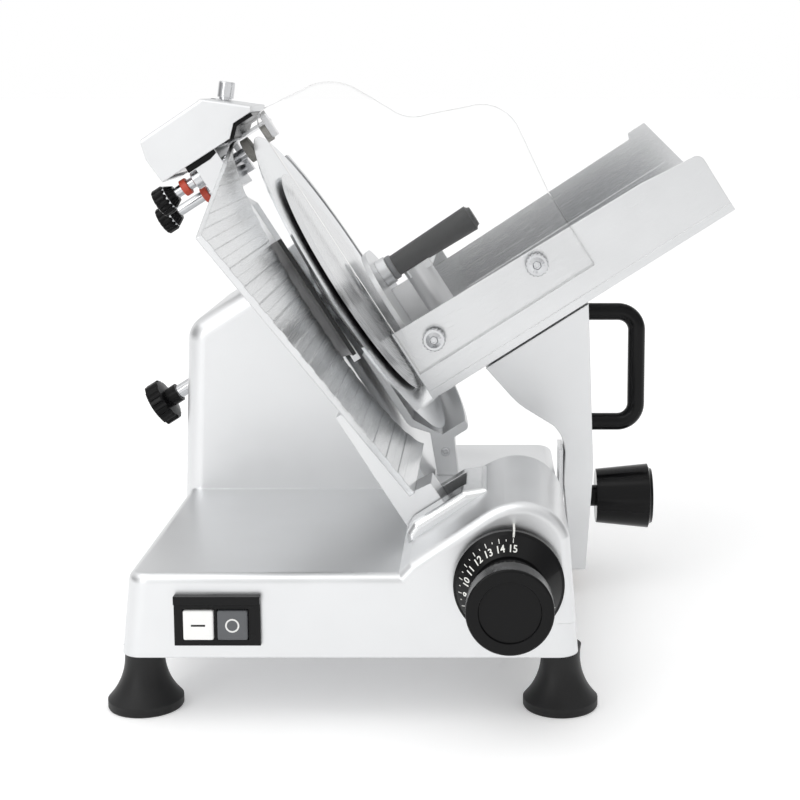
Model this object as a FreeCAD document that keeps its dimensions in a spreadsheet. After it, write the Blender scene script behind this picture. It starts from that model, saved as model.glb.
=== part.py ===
"""Table-top deli meat slicer with a tilted carriage, as a parametric FreeCAD document.

Axes: X to the right, Y away from the front, Z up, in millimetres.  Leaning parts are built in
the blade's own axes: x across the blade towards the food, y as above, z up along the blade.
"""
import FreeCAD, Part
import math
import os
import re
import Sketcher
from FreeCAD import Placement, Rotation, Vector

doc = FreeCAD.newDocument("deli_slicer")
sheet = doc.addObject("Spreadsheet::Sheet", "Sizes")

# Driving dimensions.  "lean_" sizes and every outline marked leaning are in the blade's axes.
SIZES = {
    # whole object
    "lean_angle": 32.5, "shift_x": -45.232, "shift_y": -194, "shift_z": 0.0,
    # base casting
    "base_depth": 345, "wall": 3.5, "base_bottom": 39, "deck_top": 90, "hump_ridge": -61,
    "corner_round": 13, "deck_round": 6,
    "housing_depth": 127, "housing_round": 6, "hump_front": 200, "hump_round": 14, "hump_corner": 18,
    "cover_sheet": 1.6, "cover_left": -129, "cover_right": 88, "cover_gap": 9,
    # feet
    "foot_x": 127, "foot_front": 25, "foot_back": 320, "boss_radius": 8, "boss_height": 16,
    "screw_radius": 3, "screw_head": 6, "screw_head_height": 4, "screw_start": 9, "thread_gap": 0.05,
    # switch
    "switch_left": -103, "switch_right": -51.8, "switch_low": 47.5, "switch_high": 78, "bezel_depth": 3,
    "bezel_flange": 3, "switch_back": 30, "button_size": 18, "button_gap": 0.3, "button_proud": 5,
    "button_tail": 8, "start_x": -88.4, "stop_x": -68.2, "button_z": 60.5, "block_front": 12.5,
    # dial and its mechanism
    "dial_x": 95, "dial_z": 86.7, "shaft_radius": 6, "shaft_start": -23.9,
    "shaft_end": 25.1, "run_gap": 0.05, "bush_radius": 12,
    "cam_front": 10, "cam_depth": 12, "cam_radius": 31.5, "cam_floor": 3, "pin_radius": 3,
    "pin_start": 27, "cam_turn": 250, "gauge_travel": 15, "groove_gap": 0.12, "groove_margin": 16,
    # gauge
    "gauge_face": 97, "gauge_sheet": 4, "gauge_rib": 0.4, "rib_width": 6.5, "rib_pitch": 13,
    "rib_first": 96, "rib_count": 19, "arc_radius": 128.5, "support_front": 70,
    "support_back": 98, "slider_front": 52, "slider_back": 108, "guide_z": 45, "guide_radius": 4,
    "guide_near": 60, "guide_far": 100,
    # blade
    "blade_y": 240, "blade_z": 206.7, "ring_outer": 137.5,
    "ring_inner": 131, "ring_back": 104, "ring_face": 112.5, "ring_top": 105, "dish_top": 10,
    "dish_reach": 150, "hub_reach": 46, "lip_top": 92, "pillar_width": 22, "housing_hole": 26.2,
    # motor
    "motor_y": 275, "motor_z": 125, "motor_end": 36,
    "motor_shaft_radius": 5, "motor_pulley": 12, "blade_pulley": 30, "belt_start": 42, "belt_width": 8,
    "belt_thick": 3, "belt_gap": 0.3,
    # tie rod
    "tie_radius": 5, "tie_start": -45, "tie_end": 111.8, "tie_hole": 6.5,
    # carriage
    "rod_x": 111, "rod_z": 49, "rod_radius": 7, "arm_front": 233, "arm_back": 293, "tray_start": 116.3,
    "tray_end": 374, "tray_floor": 103.4, "tray_front": 230, "tray_back": 428, "tray_sheet": 3,
    "floor_rib": 1.2, "floor_rib_width": 3, "floor_rib_pitch": 15, "floor_ribs": 12,
    "hem_height": 6, "hem_depth": 1.2, "guard_back": 228, "guard_sheet": 4,
    "handle_y": 265, "handle_radius": 6.4, "handle_bend": 14, "handle_left": 159.5, "handle_right": 193.6,
    "handle_low": 125.4, "handle_high": 209.1, "knob_z": 68,
    # pusher
    "push_rod_y": 438, "push_rod_z": 140, "push_rod_radius": 4.5, "push_axis_z": 196,
    "push_post_x": 152, "push_post_low": 150, "push_post_radius": 11, "push_boss_radius": 11,
    "push_boss_length": 7.8,
    "push_handle_y": 300, "plate_front": 250, "plate_start": 122, "plate_end": 126,
    "spike_radius": 1.6, "spike_length": 4, "spike_pitch_y": 18, "spike_pitch_z": 16,
    # sharpener
    "post_x": 76, "post_radius": 6, "sharp_front": 205, "sharp_back": 275, "sharp_sheet": 2.5,
    "grind_y": 215, "grind_z": 327.8, "hone_y": 265, "hone_z": 318, "screw_n": 107,
    "screw_m": 365.6, "screw_lean": 40.4, "stone_radius": 6.5, "hone_stone_z": 330, "stem_radius": 4,
}

# Outlines.  Each corner is (along, up) or (along, up, radius): a radius makes the stretch that
# arrives there an arc, positive where it turns left.
OUTLINES = {
    "base_block": [(-137, 39), (137, 39), (132.8, 90), (-131.5, 90)],
    "base_void": [(-133.5, 30), (133.5, 30), (129.2, 86.5), (-128, 86.5)],
    "housing": [(28, 60), (28, 88), (36, 96.5), (78, 125), (92.5, 132, -55), (119.6, 128, -31.6),
                (131, 112.5, -28.5), (135.3, 60)],
    "housing_void": [(33, 60), (33, 88.5), (38.5, 93.7), (80, 121.8), (93, 128.4, -51.5),
                     (118, 124.9, -28.1), (127.6, 111.4, -25), (131.6, 60)],
    "hump": [(-136.8, 60), (46.5, 60), (46.5, 84.5), (-60.3, 252), (-131, 207)],
    "hump_void": [(-133.2, 60), (43, 60), (42.4, 83.2), (-61.4, 247.2), (-127.6, 205.1)],
    "foot": [(0, 0), (0, 22.3), (1, 22.9), (5.5, 22.9), (7, 21.6), (39, 12.6, 38), (39, 0)],
    "dial_plate": [(-24, 6), (-24, 22), (-11, 31), (-9.6, 32.7), (-6, 32.7), (-6, 6)],
    "thickness_knob": [(-57.4, 0), (-57.4, 17.4), (-59, 17.9), (-59, 23.4), (-57.5, 24.9, -1.5), (-44, 24.9),
                       (-41, 21, 6), (-24, 21), (-24, 0)],
    "dial_bush": [(-5.7, 6.05), (-5.7, 20), (-0.05, 20), (-0.05, 12), (8, 12), (8, 6.05)],
    "gauge_plate": [(63, 84), (238, 84), (238, 337.5), (-44, 289)],
    "gauge_support": [(80, 150), (80, 40), (108, 40), (108, 82.5), (97.2, 83.8), (92.9, 83.8), (92.9, 150)],
    "fairing": [(77, 58), (140, 58), (137, 66), (125, 71), (88, 71), (80, 67)],
    "blade": [(104, 9), (104, 22), (108.6, 30), (108.6, 116), (112, 125), (111.5, 112), (110.6, 96),
              (110.6, 9)],
    "blade_hub": [(97, 10.02), (97, 20), (103.9, 20), (103.9, 10.02)],
    "bearing_tube": [(56, 21.02), (56, 26), (84.65, 26), (84.65, 34), (91, 34), (91, 26), (97, 26),
                     (97, 21.02), (86, 21.02), (86, 18), (72, 18), (72, 21.02)],
    "blade_cover": [(112.2, 0), (112.2, 90), (113, 92), (115, 80, 60), (115, 14), (113.8, 10), (113.8, 0)],
    "tie_knob": [(-60, 0), (-60, 13), (-59, 16.2), (-50, 16.2), (-49, 15), (-48, 7), (-40, 7), (-40, 0)],
    "motor": [(-40, 0), (-40, 36), (-34, 45, 12), (30, 45), (36, 36, 12), (36, 0)],
    "deflector": [(60, 199.9), (74, 199.9), (88, 172, -60), (103, 135, -90), (100.2, 134),
                  (85.4, 170.4, 90), (72, 196.9, 60), (60, 196.9)],
    "ring_dish": [(84.65, 35), (94, 35), (94, 110), (104, 128), (106, 131), (126, 131), (126, 134),
                  (122.5, 137.5, 3.5), (109, 137.5), (90, 114), (88.65, 110), (88.65, 45), (84.65, 45)],
    "ring_pillar": [(86.4, 51.8), (99, 43.8), (112.3, 69), (109, 73), (99.3, 82)],
    "sharpener_bracket": [(62, 245.1), (84, 245.1), (84, 292), (80, 300), (68, 300), (62, 292)],
    "arm": [(81, 171.7), (155.6, 219.2), (160, 96), (155, 20), (144.7, 20), (138.7, 85), (139.4, 105),
            (130.5, 129, 30), (109.6, 142), (97.6, 153, -60)],
    "tray_front_wall": [(116.3, 103.4), (374, 103.4), (374, 146), (368, 151.5, 6), (327, 155.4),
                        (116.3, 159.4)],
    "tray_back_wall": [(116.3, 103.4), (374, 103.4), (376, 130), (365, 177), (349, 177), (347, 172),
                       (116.3, 169)],
    "guard": [(118.5, 124), (268, 124), (268, 186), (274.6, 238), (252, 268.5, 30), (224, 279.5),
              (205, 296, -26), (191, 323), (158, 341.5, 38), (131.5, 345), (118.5, 333, 11)],
    "carriage_knob": [(150, 0), (150, 5), (160, 5), (160, 8), (164, 8), (164, 20.3), (203, 24.2),
                      (206, 20.5, 4), (206, 0)],
    "push_plate": [(250, 110), (350, 110), (350, 176), (318, 216, 42), (282, 216), (250, 176, 42)],
    "push_handle": [(134, 0), (134, 8.4), (137, 8.8), (137, 8.5), (207, 10.3), (210, 7.6, 3.4), (210, 0)],
    "sharpener_shell": [(43, 339), (42, 358), (46, 372), (98, 373), (125, 350), (122, 346.5), (108, 346.5),
                        (100, 339)],
    "sharpener_hollow": [(45.6, 335), (44.6, 357.8), (47.8, 369.5), (97, 370.4), (119.5, 351), (107, 349.2),
                         (97.4, 340), (97.4, 335)],
    "push_knob": [(0, 0), (0, 7), (1, 9), (10, 9), (12, 6, 3), (15, 5.2), (15, 0)],
    "thumb_screw": [(-6, 0), (-6, 3), (0.3, 3), (0.3, 4.6), (2, 4.6), (2, 5.9), (12.5, 5.9), (13.3, 5.2),
                    (13.3, 0)],
}


def fill_sheet():
    """Write every size and outline coordinate to the sheet, each under its own alias."""
    rows = list(SIZES.items())
    for name, corners in OUTLINES.items():
        for number, corner in enumerate(corners):
            for letter, value in zip("uvr", corner):
                rows.append((f"{name}_{letter}_{number}", value))
    for row, (alias, value) in enumerate(rows, start=1):
        sheet.set(f"A{row}", alias)
        sheet.set(f"B{row}", str(value))
        sheet.setAlias(f"B{row}", alias)
    doc.recompute()


fill_sheet()
WORD = re.compile(r"[a-z][a-z_0-9]*")
NODES = []
TURNS = {
    "X": Rotation(),
    "Y": Rotation(Vector(0, 0, 1), 90),
    "Z": Rotation(Vector(0, 1, 0), -90),
}
DIRECTIONS = {"X": Vector(1, 0, 0), "Y": Vector(0, 1, 0), "Z": Vector(0, 0, 1)}
LEAN_AXIS = Vector(0, -1, 0)
FULL_TURN = 360


def size(alias):
    """The sheet's value of one driving dimension."""
    return float(sheet.get(alias))


def formula(text):
    """A FreeCAD expression in which every known size is read from the sheet."""
    return WORD.sub(lambda found: f"Sizes.{found.group(0)}" if found.group(0) in SIZES
                    or found.group(0) in OUTLINE_CELLS else found.group(0), str(text))


OUTLINE_CELLS = {f"{name}_{letter}_{number}" for name, corners in OUTLINES.items()
                 for number, corner in enumerate(corners) for letter, _ in zip("uvr", corner)}


def bind(thing, **sizes):
    """Bind properties to formulas; a double underscore in a name stands for a dot."""
    for name, text in sizes.items():
        thing.setExpression(name.replace("__", "."), formula(text))


def bind_point(thing, prefix, point):
    """Bind the three parts of a vector property."""
    for letter, text in zip("xyz", point):
        thing.setExpression(f"{prefix}.{letter}", formula(text))


def box(name, low, high):
    """A block between two corners."""
    block = doc.addObject("Part::Box", name)
    sides = [f"({top}) - ({bottom})" for bottom, top in zip(low, high)]
    bind(block, Length=sides[0], Width=sides[1], Height=sides[2])
    bind_point(block, "Placement.Base", low)
    return block


def cylinder(name, direction, at, radius, length):
    """A round bar that starts at a point and runs along X, Y or Z."""
    bar = doc.addObject("Part::Cylinder", name)
    bind(bar, Radius=radius, Height=length)
    bar.Placement = Placement(Vector(), Rotation(Vector(0, 0, 1), DIRECTIONS[direction]))
    bind_point(bar, "Placement.Base", at)
    return bar


def fuse(name, pieces):
    """One object from several; pieces that don't touch stay separate solids."""
    joined = doc.addObject("Part::MultiFuse", name)
    joined.Shapes = pieces
    joined.Refine = True
    return joined


def cut(name, base, tool):
    """The base without the tool."""
    rest = doc.addObject("Part::Cut", name)
    rest.Base = base
    rest.Tool = tool
    return rest


def lean(thing):
    """Turn an object from the blade's axes to the upright ones."""
    thing.Placement = Placement(Vector(), Rotation(LEAN_AXIS, 1))
    bind(thing, Placement__Rotation__Angle="lean_angle")
    return thing


def node(name, thing, leaning=False):
    """Keep an object as a sub-part under its own label, in the part's final place."""
    if thing.TypeId in ("Part::Box", "Part::Cylinder"):
        group = doc.addObject("Part::Compound", f"{name}_group")
        group.Links = [thing]
        thing = group
    if leaning:
        lean(thing)
    bind_point(thing, "Placement.Base", ("shift_x", "shift_y", "shift_z"))
    thing.Label = name
    NODES.append(thing)
    return thing


def arc_centre(start, end, radius):
    """Centre of the arc between two points; a positive radius turns left."""
    middle = (start + end) / 2
    chord = end - start
    height = math.sqrt(max(radius * radius - chord.Length ** 2 / 4, 0))
    left = Vector(-chord.y, chord.x, 0).normalize()
    return middle + left * (height if radius > 0 else -height)


def draw(sketch, name):
    """Draw a closed outline with every corner and radius bound to the sheet."""
    corners = [Vector(corner[0], corner[1], 0) for corner in OUTLINES[name]]
    radii = [corner[2] if len(corner) > 2 else 0 for corner in OUTLINES[name]]
    count = len(corners)
    starts = []
    for number, start in enumerate(corners):
        end = corners[(number + 1) % count]
        radius = radii[(number + 1) % count]
        if not radius:
            sketch.addGeometry(Part.LineSegment(start, end), False)
            starts.append(1)
            continue
        centre = arc_centre(start, end, radius)
        first, last = (start, end) if radius > 0 else (end, start)
        angles = [math.atan2(point.y - centre.y, point.x - centre.x) for point in (first, last)]
        circle = Part.Circle(centre, Vector(0, 0, 1), abs(radius))
        sketch.addGeometry(Part.ArcOfCircle(circle, angles[0], angles[1]), False)
        starts.append(1 if radius > 0 else 2)
    for number, corner in enumerate(corners):
        before = (number - 1) % count
        sketch.addConstraint(Sketcher.Constraint("Coincident", before, 3 - starts[before],
                                                 number, starts[number]))
        for kind, letter, value in (("DistanceX", "u", corner.x), ("DistanceY", "v", corner.y)):
            place = sketch.addConstraint(Sketcher.Constraint(kind, -1, 1, number, starts[number], value))
            sketch.setExpression(f"Constraints[{place}]", f"Sizes.{name}_{letter}_{number}")
        if radii[number]:
            place = sketch.addConstraint(Sketcher.Constraint("Radius", before, abs(radii[number])))
            sketch.setExpression(f"Constraints[{place}]", f"abs(Sizes.{name}_r_{number})")


def slab(name, outline, plane, start, end):
    """A body padded from one outline: plane XZ runs along Y, YZ along X and XY along Z."""
    body = doc.addObject("PartDesign::Body", name)
    sketch = body.newObject("Sketcher::SketchObject", f"{name}_sketch")
    sketch.AttachmentSupport = [(feature, "") for feature in body.Origin.OriginFeatures
                                if feature.Role == f"{plane}_Plane"]
    sketch.MapMode = "FlatFace"
    bind(sketch, AttachmentOffset__Base__z=f"-({end})" if plane == "XZ" else start)
    draw(sketch, outline)
    pad = body.newObject("PartDesign::Pad", f"{name}_pad")
    pad.Profile = sketch
    bind(pad, Length=f"({end}) - ({start})")
    doc.recompute()
    return body


def rounded(body, radius, wanted):
    """Round the edges of a body whose middle the test accepts."""
    sharp = body.Tip
    edges = [f"Edge{number}" for number, edge in enumerate(sharp.Shape.Edges, start=1)
             if wanted(edge.CenterOfMass, edge)]
    fillet = body.newObject("PartDesign::Fillet", f"{body.Name}_round")
    fillet.Base = (sharp, edges)
    bind(fillet, Radius=radius)
    doc.recompute()
    return body


def turned(name, outline, direction, at):
    """A piece turned from a profile of (along the axis, radius)."""
    profile = doc.addObject("Sketcher::SketchObject", f"{name}_profile")
    profile.Placement = Placement(Vector(), TURNS[direction])
    bind_point(profile, "Placement.Base", at)
    draw(profile, outline)
    piece = doc.addObject("Part::Revolution", name)
    piece.Source = profile
    piece.Axis = DIRECTIONS[direction]
    bind_point(piece, "Base", at)
    piece.Angle = FULL_TURN
    piece.Solid = True
    return piece


def tube(name, direction, at, outer, inner, length):
    """A straight tube."""
    bore = cylinder(f"{name}_bore", direction, at, inner, length)
    return cut(f"{name}_tube", cylinder(f"{name}_outside", direction, at, outer, length), bore)


def hump(name, outline, inset):
    """The motor hump, or its hollow, with a soft corner and soft front edges."""
    body = slab(name, outline, "XZ", f"hump_front + {inset}", f"base_depth - {inset}")
    front = min(vertex.Y for vertex in body.Shape.Vertexes)
    left = min(vertex.X for vertex in body.Shape.Vertexes if vertex.Z > size("deck_top"))
    rounded(body, f"hump_corner - {inset}",
            lambda middle, edge: edge.Length > 100 and abs(middle.x - left) < 0.1)
    rounded(body, f"hump_round - {inset}",
            lambda middle, edge: abs(middle.y - front) < 0.1 and middle.z > size("deck_top")
            and middle.x < size("hump_ridge"))
    return body


def base_casting():
    """Base, dial housing and motor hump, hollow and open below."""
    depth = size("base_depth")
    block = slab("block", "base_block", "XZ", "0", "base_depth")
    rounded(block, "corner_round", lambda middle, edge: abs(middle.z - 64.5) < 1
            and min(middle.y, depth - middle.y) < 1)
    rounded(block, "deck_round", lambda middle, edge: abs(middle.z - 90) < 0.5)
    housing = slab("dial_housing", "housing", "XZ", "0", "housing_depth")
    rounded(housing, "housing_round", lambda middle, edge: middle.z > 61
            and min(abs(middle.y), abs(middle.y - size("housing_depth"))) < 0.5)
    outside = fuse("casting_outside", [block, housing, hump("motor_hump", "hump", "0")])
    hollow = fuse("casting_hollow", [
        rounded(slab("block_hollow", "base_void", "XZ", "wall", "base_depth - wall"), "corner_round - wall",
                lambda middle, edge: abs(middle.z - 58.25) < 1 and min(middle.y, depth - middle.y) < 4),
        slab("housing_hollow", "housing_void", "XZ", "wall", "housing_depth - wall"),
        hump("hump_hollow", "hump_void", "wall")])
    shell = cut("casting_shell", outside, hollow)
    bosses = []
    bores = []
    for side in (-1, 1):
        for row in ("foot_front", "foot_back"):
            at = (f"{side} * foot_x", row, "base_bottom")
            name = f"{row}_{'right' if side > 0 else 'left'}"
            bosses.append(cylinder(f"{name}_boss", "Z", at, "boss_radius", "boss_height"))
            bores.append(cylinder(f"{name}_bore", "Z", at, "screw_radius + thread_gap", "boss_height - 2"))
    leaning_holes = fuse("leaning_holes", [
        box("support_slot", ("76", "support_front - 3", "50"), ("127", "support_back + 3", "78")),
        cylinder("tie_rod_hole", "X", ("-60", "blade_y", "blade_z"), "tie_hole", "60"),
        cylinder("shaft_hole", "X", ("70", "blade_y", "blade_z"), "housing_hole", "25")])
    lean(leaning_holes)
    holes = bores + [
        leaning_holes,
        cylinder("dial_hole", "Y", ("dial_x", "-1", "dial_z"), "bush_radius + run_gap", "wall + 2"),
        box("switch_hole", ("switch_left + bezel_flange", "-1", "switch_low + bezel_flange"),
            ("switch_right - bezel_flange", "wall + 1", "switch_high - bezel_flange")),
        cylinder("gland_hole", "Y", ("-100", "base_depth - wall - 1", "62"), "6.1", "wall + 2")]
    return cut("casting", fuse("casting_with_bosses", [shell] + bosses), fuse("casting_holes", holes))


def feet():
    """Four rubber feet and the screws that hold them."""
    screws = []
    for side, side_name in ((-1, "left"), (1, "right")):
        for row, row_name in (("foot_front", "front"), ("foot_back", "rear")):
            name = f"foot_{row_name}_{side_name}"
            at = (f"{side} * foot_x", row, "0")
            seat = (f"{side} * foot_x", row, "screw_start")
            body = turned(f"{name}_body", "foot", "Z", at)
            counterbore = cylinder(f"{name}_counterbore", "Z", at, "screw_head + 0.5",
                                   "screw_start + thread_gap")
            bore = cylinder(f"{name}_way", "Z", at, "screw_radius + thread_gap", "base_bottom")
            node(name, cut(f"{name}_cut", body, fuse(f"{name}_hole", [counterbore, bore])))
            head = (f"{side} * foot_x", row, "screw_start - screw_head_height")
            screws += [cylinder(f"{name}_screw", "Z", seat, "screw_radius", "base_bottom - screw_start + 12"),
                       cylinder(f"{name}_head", "Z", head, "screw_head", "screw_head_height")]
    node("foot_screws", fuse("foot_screw_set", screws))


def switch():
    """Start and stop switch in the front wall."""
    windows = []
    for name in ("start", "stop"):
        half = "(button_size / 2 + button_gap)"
        windows.append(box(f"{name}_window", (f"{name}_x - {half}", "-9", f"button_z - {half}"),
                           (f"{name}_x + {half}", "block_front + 1", f"button_z + {half}")))
    frame = fuse("bezel_solid", [
        box("bezel_face", ("switch_left", "-bezel_depth", "switch_low"), ("switch_right", "0", "switch_high")),
        box("bezel_lid", ("switch_left", "-bezel_depth - 2", "switch_high - 5"),
            ("switch_right", "-bezel_depth", "switch_high")),
        box("bezel_neck", ("switch_left + 3.2", "0", "switch_low + 3.2"),
            ("switch_right - 3.2", "block_front - 0.5", "switch_high - 3.2"))])
    node("switch_bezel", cut("bezel", frame, fuse("bezel_windows", windows)))
    node("switch_body", box("switch_block", ("switch_left + 3.4", "block_front", "switch_low + 3.4"),
                            ("switch_right - 3.4", "switch_back", "switch_high - 3.4")))
    for name in ("start", "stop"):
        low = (f"{name}_x - button_size / 2", "-button_proud", "button_z - button_size / 2")
        high = (f"{name}_x + button_size / 2", "button_tail", "button_z + button_size / 2")
        node(f"{name}_button", box(f"{name}_cap", low, high))


def groove_shape():
    """Solid of the cam's groove: an Archimedean spiral that draws the pin towards the axis."""
    steps = 40
    half = size("pin_radius") + size("groove_gap")
    start_angle = math.radians(180 + size("lean_angle"))
    margin = math.radians(size("groove_margin"))
    sweep = math.radians(size("cam_turn"))
    per_radian = size("gauge_travel") / sweep
    sides = {1: [], -1: []}
    for step in range(steps + 1):
        turn = -margin + (sweep + 2 * margin) * step / steps
        radius = size("pin_start") - per_radian * turn
        direction = Vector(math.cos(start_angle + turn), 0, math.sin(start_angle + turn))
        along = Vector(-direction.z, 0, direction.x) * radius - direction * per_radian
        across = Vector(along.z, 0, -along.x).normalize()
        for side in sides:
            sides[side].append(direction * radius + across * (half * side))
    outer = Part.BSplineCurve()
    outer.interpolate(sides[1])
    inner = Part.BSplineCurve()
    inner.interpolate(sides[-1])
    ends = [Part.LineSegment(sides[1][place], sides[-1][place]) for place in (0, -1)]
    wire = Part.Wire(Part.__sortEdges__([curve.toShape() for curve in (outer, inner, *ends)]))
    depth = size("cam_depth") - size("cam_floor")
    return Part.Face(wire).extrude(Vector(0, depth + 1, 0))


def dial():
    """Thickness dial with its shaft and the cam disc behind the front wall."""
    axis = ("dial_x", "0", "dial_z")
    node("dial_plate", turned("dial_disc", "dial_plate", "Y", axis))
    node("thickness_knob", turned("dial_knob", "thickness_knob", "Y", axis))
    node("dial_bushing", turned("dial_bush_ring", "dial_bush", "Y", axis))
    node("dial_shaft", cylinder("dial_spindle", "Y", ("dial_x", "shaft_start", "dial_z"), "shaft_radius",
                                "shaft_end - shaft_start"))
    groove = doc.addObject("Part::Feature", "spiral_groove")
    groove.Shape = groove_shape()
    bind_point(groove, "Placement.Base", ("dial_x", "cam_front + cam_floor", "dial_z"))
    disc = cylinder("cam_blank", "Y", ("dial_x", "cam_front", "dial_z"), "cam_radius", "cam_depth")
    bore = cylinder("cam_bore", "Y", ("dial_x", "cam_front", "dial_z"), "shaft_radius", "cam_depth")
    node("cam_disc", cut("cam", disc, fuse("cam_cuts", [groove, bore])))


def gauge():
    """Gauge plate that slides across the blade's plane, and the support under it."""
    arc = cylinder("gauge_arc", "X", ("gauge_face - 20", "blade_y", "blade_z"), "arc_radius", "30")
    plate = slab("gauge_sheet_pad", "gauge_plate", "YZ", "gauge_face - gauge_sheet", "gauge_face")
    rib_zone = slab("gauge_rib_zone", "gauge_plate", "YZ", "gauge_face - 1", "gauge_face + gauge_rib")
    bars = fuse("gauge_rib_bars", [
        box(f"gauge_bar_{number}", ("gauge_face - 1", "-60", f"rib_first + {number} * rib_pitch"),
            ("gauge_face + gauge_rib", "260", f"rib_first + {number} * rib_pitch + rib_width"))
        for number in range(int(size("rib_count")))])
    ribs = doc.addObject("Part::Common", "gauge_ribs")
    ribs.Base = rib_zone
    ribs.Tool = bars
    node("gauge_plate", cut("gauge", fuse("gauge_solid", [plate, ribs]), arc), leaning=True)
    support = fuse("support_solid", [
        slab("support_pad", "gauge_support", "XZ", "support_front", "support_back"),
        box("support_slider", ("80", "slider_front", "34"), ("108", "slider_back", "56"))])
    ways = fuse("support_ways", [
        cylinder(f"way_{row}", "X", ("70", f"guide_{row}", "guide_z"), "guide_radius + run_gap", "60")
        for row in ("near", "far")])
    node("gauge_bracket", cut("gauge_bracket_cut", support, ways), leaning=True)
    pin_x = "dial_x * cos(lean_angle * 1deg) + dial_z * sin(lean_angle * 1deg) - pin_start"
    pin_z = "dial_z * cos(lean_angle * 1deg) - dial_x * sin(lean_angle * 1deg)"
    pin = cylinder("pin_bar", "Y", (pin_x, "cam_front + cam_floor + 1", pin_z), "pin_radius", "52")
    foot = box("pin_foot", (f"{pin_x} - 6", "slider_front", f"{pin_z} - 6"),
               (f"{pin_x} + 6", "slider_front + 14", "33.9"))
    node("follower_pin", fuse("follower", [pin, foot]), leaning=True)
    rods = [cylinder(f"guide_rod_{row}", "X", ("64", f"guide_{row}", "guide_z"), "guide_radius", "74")
            for row in ("near", "far")]
    lugs = [box(f"lug_{place}", (place, "slider_front", "38"), (f"{place} + 6", "slider_back", "56"))
            for place in ("66", "130")]
    node("gauge_guide", fuse("guide_frame", rods + lugs), leaning=True)
    collar = slab("fairing_pad", "fairing", "XZ", "support_front - 20", "support_back + 16")
    rounded(collar, "5", lambda middle, edge: middle.z > 62)
    slot = box("fairing_slot", ("76", "support_front - 2", "50"), ("126.5", "support_back + 2", "80"))
    node("gauge_fairing", cut("fairing_cut", collar, fuse("fairing_cuts", [slot, housing_block()])),
         leaning=True)


def housing_block():
    """The dial housing's solid seen from the blade's axes, to seat the fairing on it."""
    block = slab("fairing_seat", "housing", "XZ", "0", "housing_depth")
    seat = fuse("fairing_seat_turned", [block, box("fairing_seat_deck", ("-20", "0", "60"), ("40", "200", "90"))])
    seat.Placement = Placement(Vector(), Rotation(Vector(0, 1, 0), 1))
    bind(seat, Placement__Rotation__Angle="lean_angle")
    return seat


def blade_group():
    """Blade with its hollow shaft, bearings, pulley, guard ring and cover."""
    centre = ("0", "blade_y", "blade_z")
    node("blade", turned("blade_disc", "blade", "X", centre), leaning=True)
    node("blade_hub", turned("hub_flange", "blade_hub", "X", centre), leaning=True)
    node("blade_shaft", tube("shaft", "X", ("38", "blade_y", "blade_z"), "10", "5.6", "65.9"), leaning=True)
    node("blade_pulley", tube("wheel", "X", ("belt_start", "blade_y", "blade_z"), "blade_pulley", "10.02",
                              "belt_width"), leaning=True)
    node("bearing_housing", turned("bearing_tube_ring", "bearing_tube", "X", centre), leaning=True)
    node("shaft_bearings", fuse("bearing_pair", [
        tube(name, "X", (start, "blade_y", "blade_z"), "20.98", "10.03", "10.8")
        for name, start in (("rear_bearing", "58"), ("front_bearing", "86.1"))]), leaning=True)
    node("blade_cover", turned("cover_disc", "blade_cover", "X", centre), leaning=True)
    node("blade_ring_guard", ring_guard(centre), leaning=True)
    node("slice_deflector", slab("deflector_pad", "deflector", "XY", "171", "262"), leaning=True)
    node("tie_rod", cylinder("tie_bar", "X", ("tie_start", "blade_y", "blade_z"), "tie_radius",
                             "tie_end - tie_start"), leaning=True)
    knob = turned("tie_knob_body", "tie_knob", "X", centre)
    flutes = fuse("tie_flutes", [
        cylinder(f"tie_flute_{number}", "X",
                 ("-61", f"blade_y + 17.4 * cos({number * 30}deg)", f"blade_z + 17.4 * sin({number * 30}deg)"),
                 "3", "13") for number in range(12)])
    socket = cylinder("tie_socket", "X", ("tie_start", "blade_y", "blade_z"), "tie_radius", "20")
    node("tie_knob", cut("tie_knob_cut", knob, fuse("tie_knob_cuts", [flutes, socket])), leaning=True)


def ring_guard(centre):
    """Guard behind the blade: a dish over its lower far quarter, a rim above it and a pillar below."""
    far_low = ("80", "blade_y", "blade_z - dish_reach")
    dish_keep = fuse("dish_keep", [
        box("dish_keep_far", far_low, ("130", "blade_y + dish_reach", "blade_z + dish_top")),
        box("dish_keep_hub", ("80", "blade_y - hub_reach", "blade_z - hub_reach"),
            ("130", "blade_y + hub_reach", "blade_z + hub_reach"))])
    dish = doc.addObject("Part::Common", "dish_part")
    dish.Base = turned("ring_dish", "ring_dish", "X", centre)
    dish.Tool = cut("dish_zone", dish_keep, box("lip_relief", ("ring_face", "blade_y - hub_reach", "lip_top"),
                                                ("131", "blade_y + dish_reach + 1", "blade_z + dish_reach")))
    rim = doc.addObject("Part::Common", "rim_part")
    rim.Base = tube("rim", "X", ("ring_back", "blade_y", "blade_z"), "ring_outer", "ring_inner",
                    "ring_face - ring_back")
    rim.Tool = box("rim_keep", far_low, ("130", "blade_y + dish_reach", "blade_z + ring_top"))
    pillar = slab("pillar_pad", "ring_pillar", "XZ", "blade_y", "blade_y + pillar_width")
    return fuse("ring_guard_solid", [dish, rim, pillar])


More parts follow.
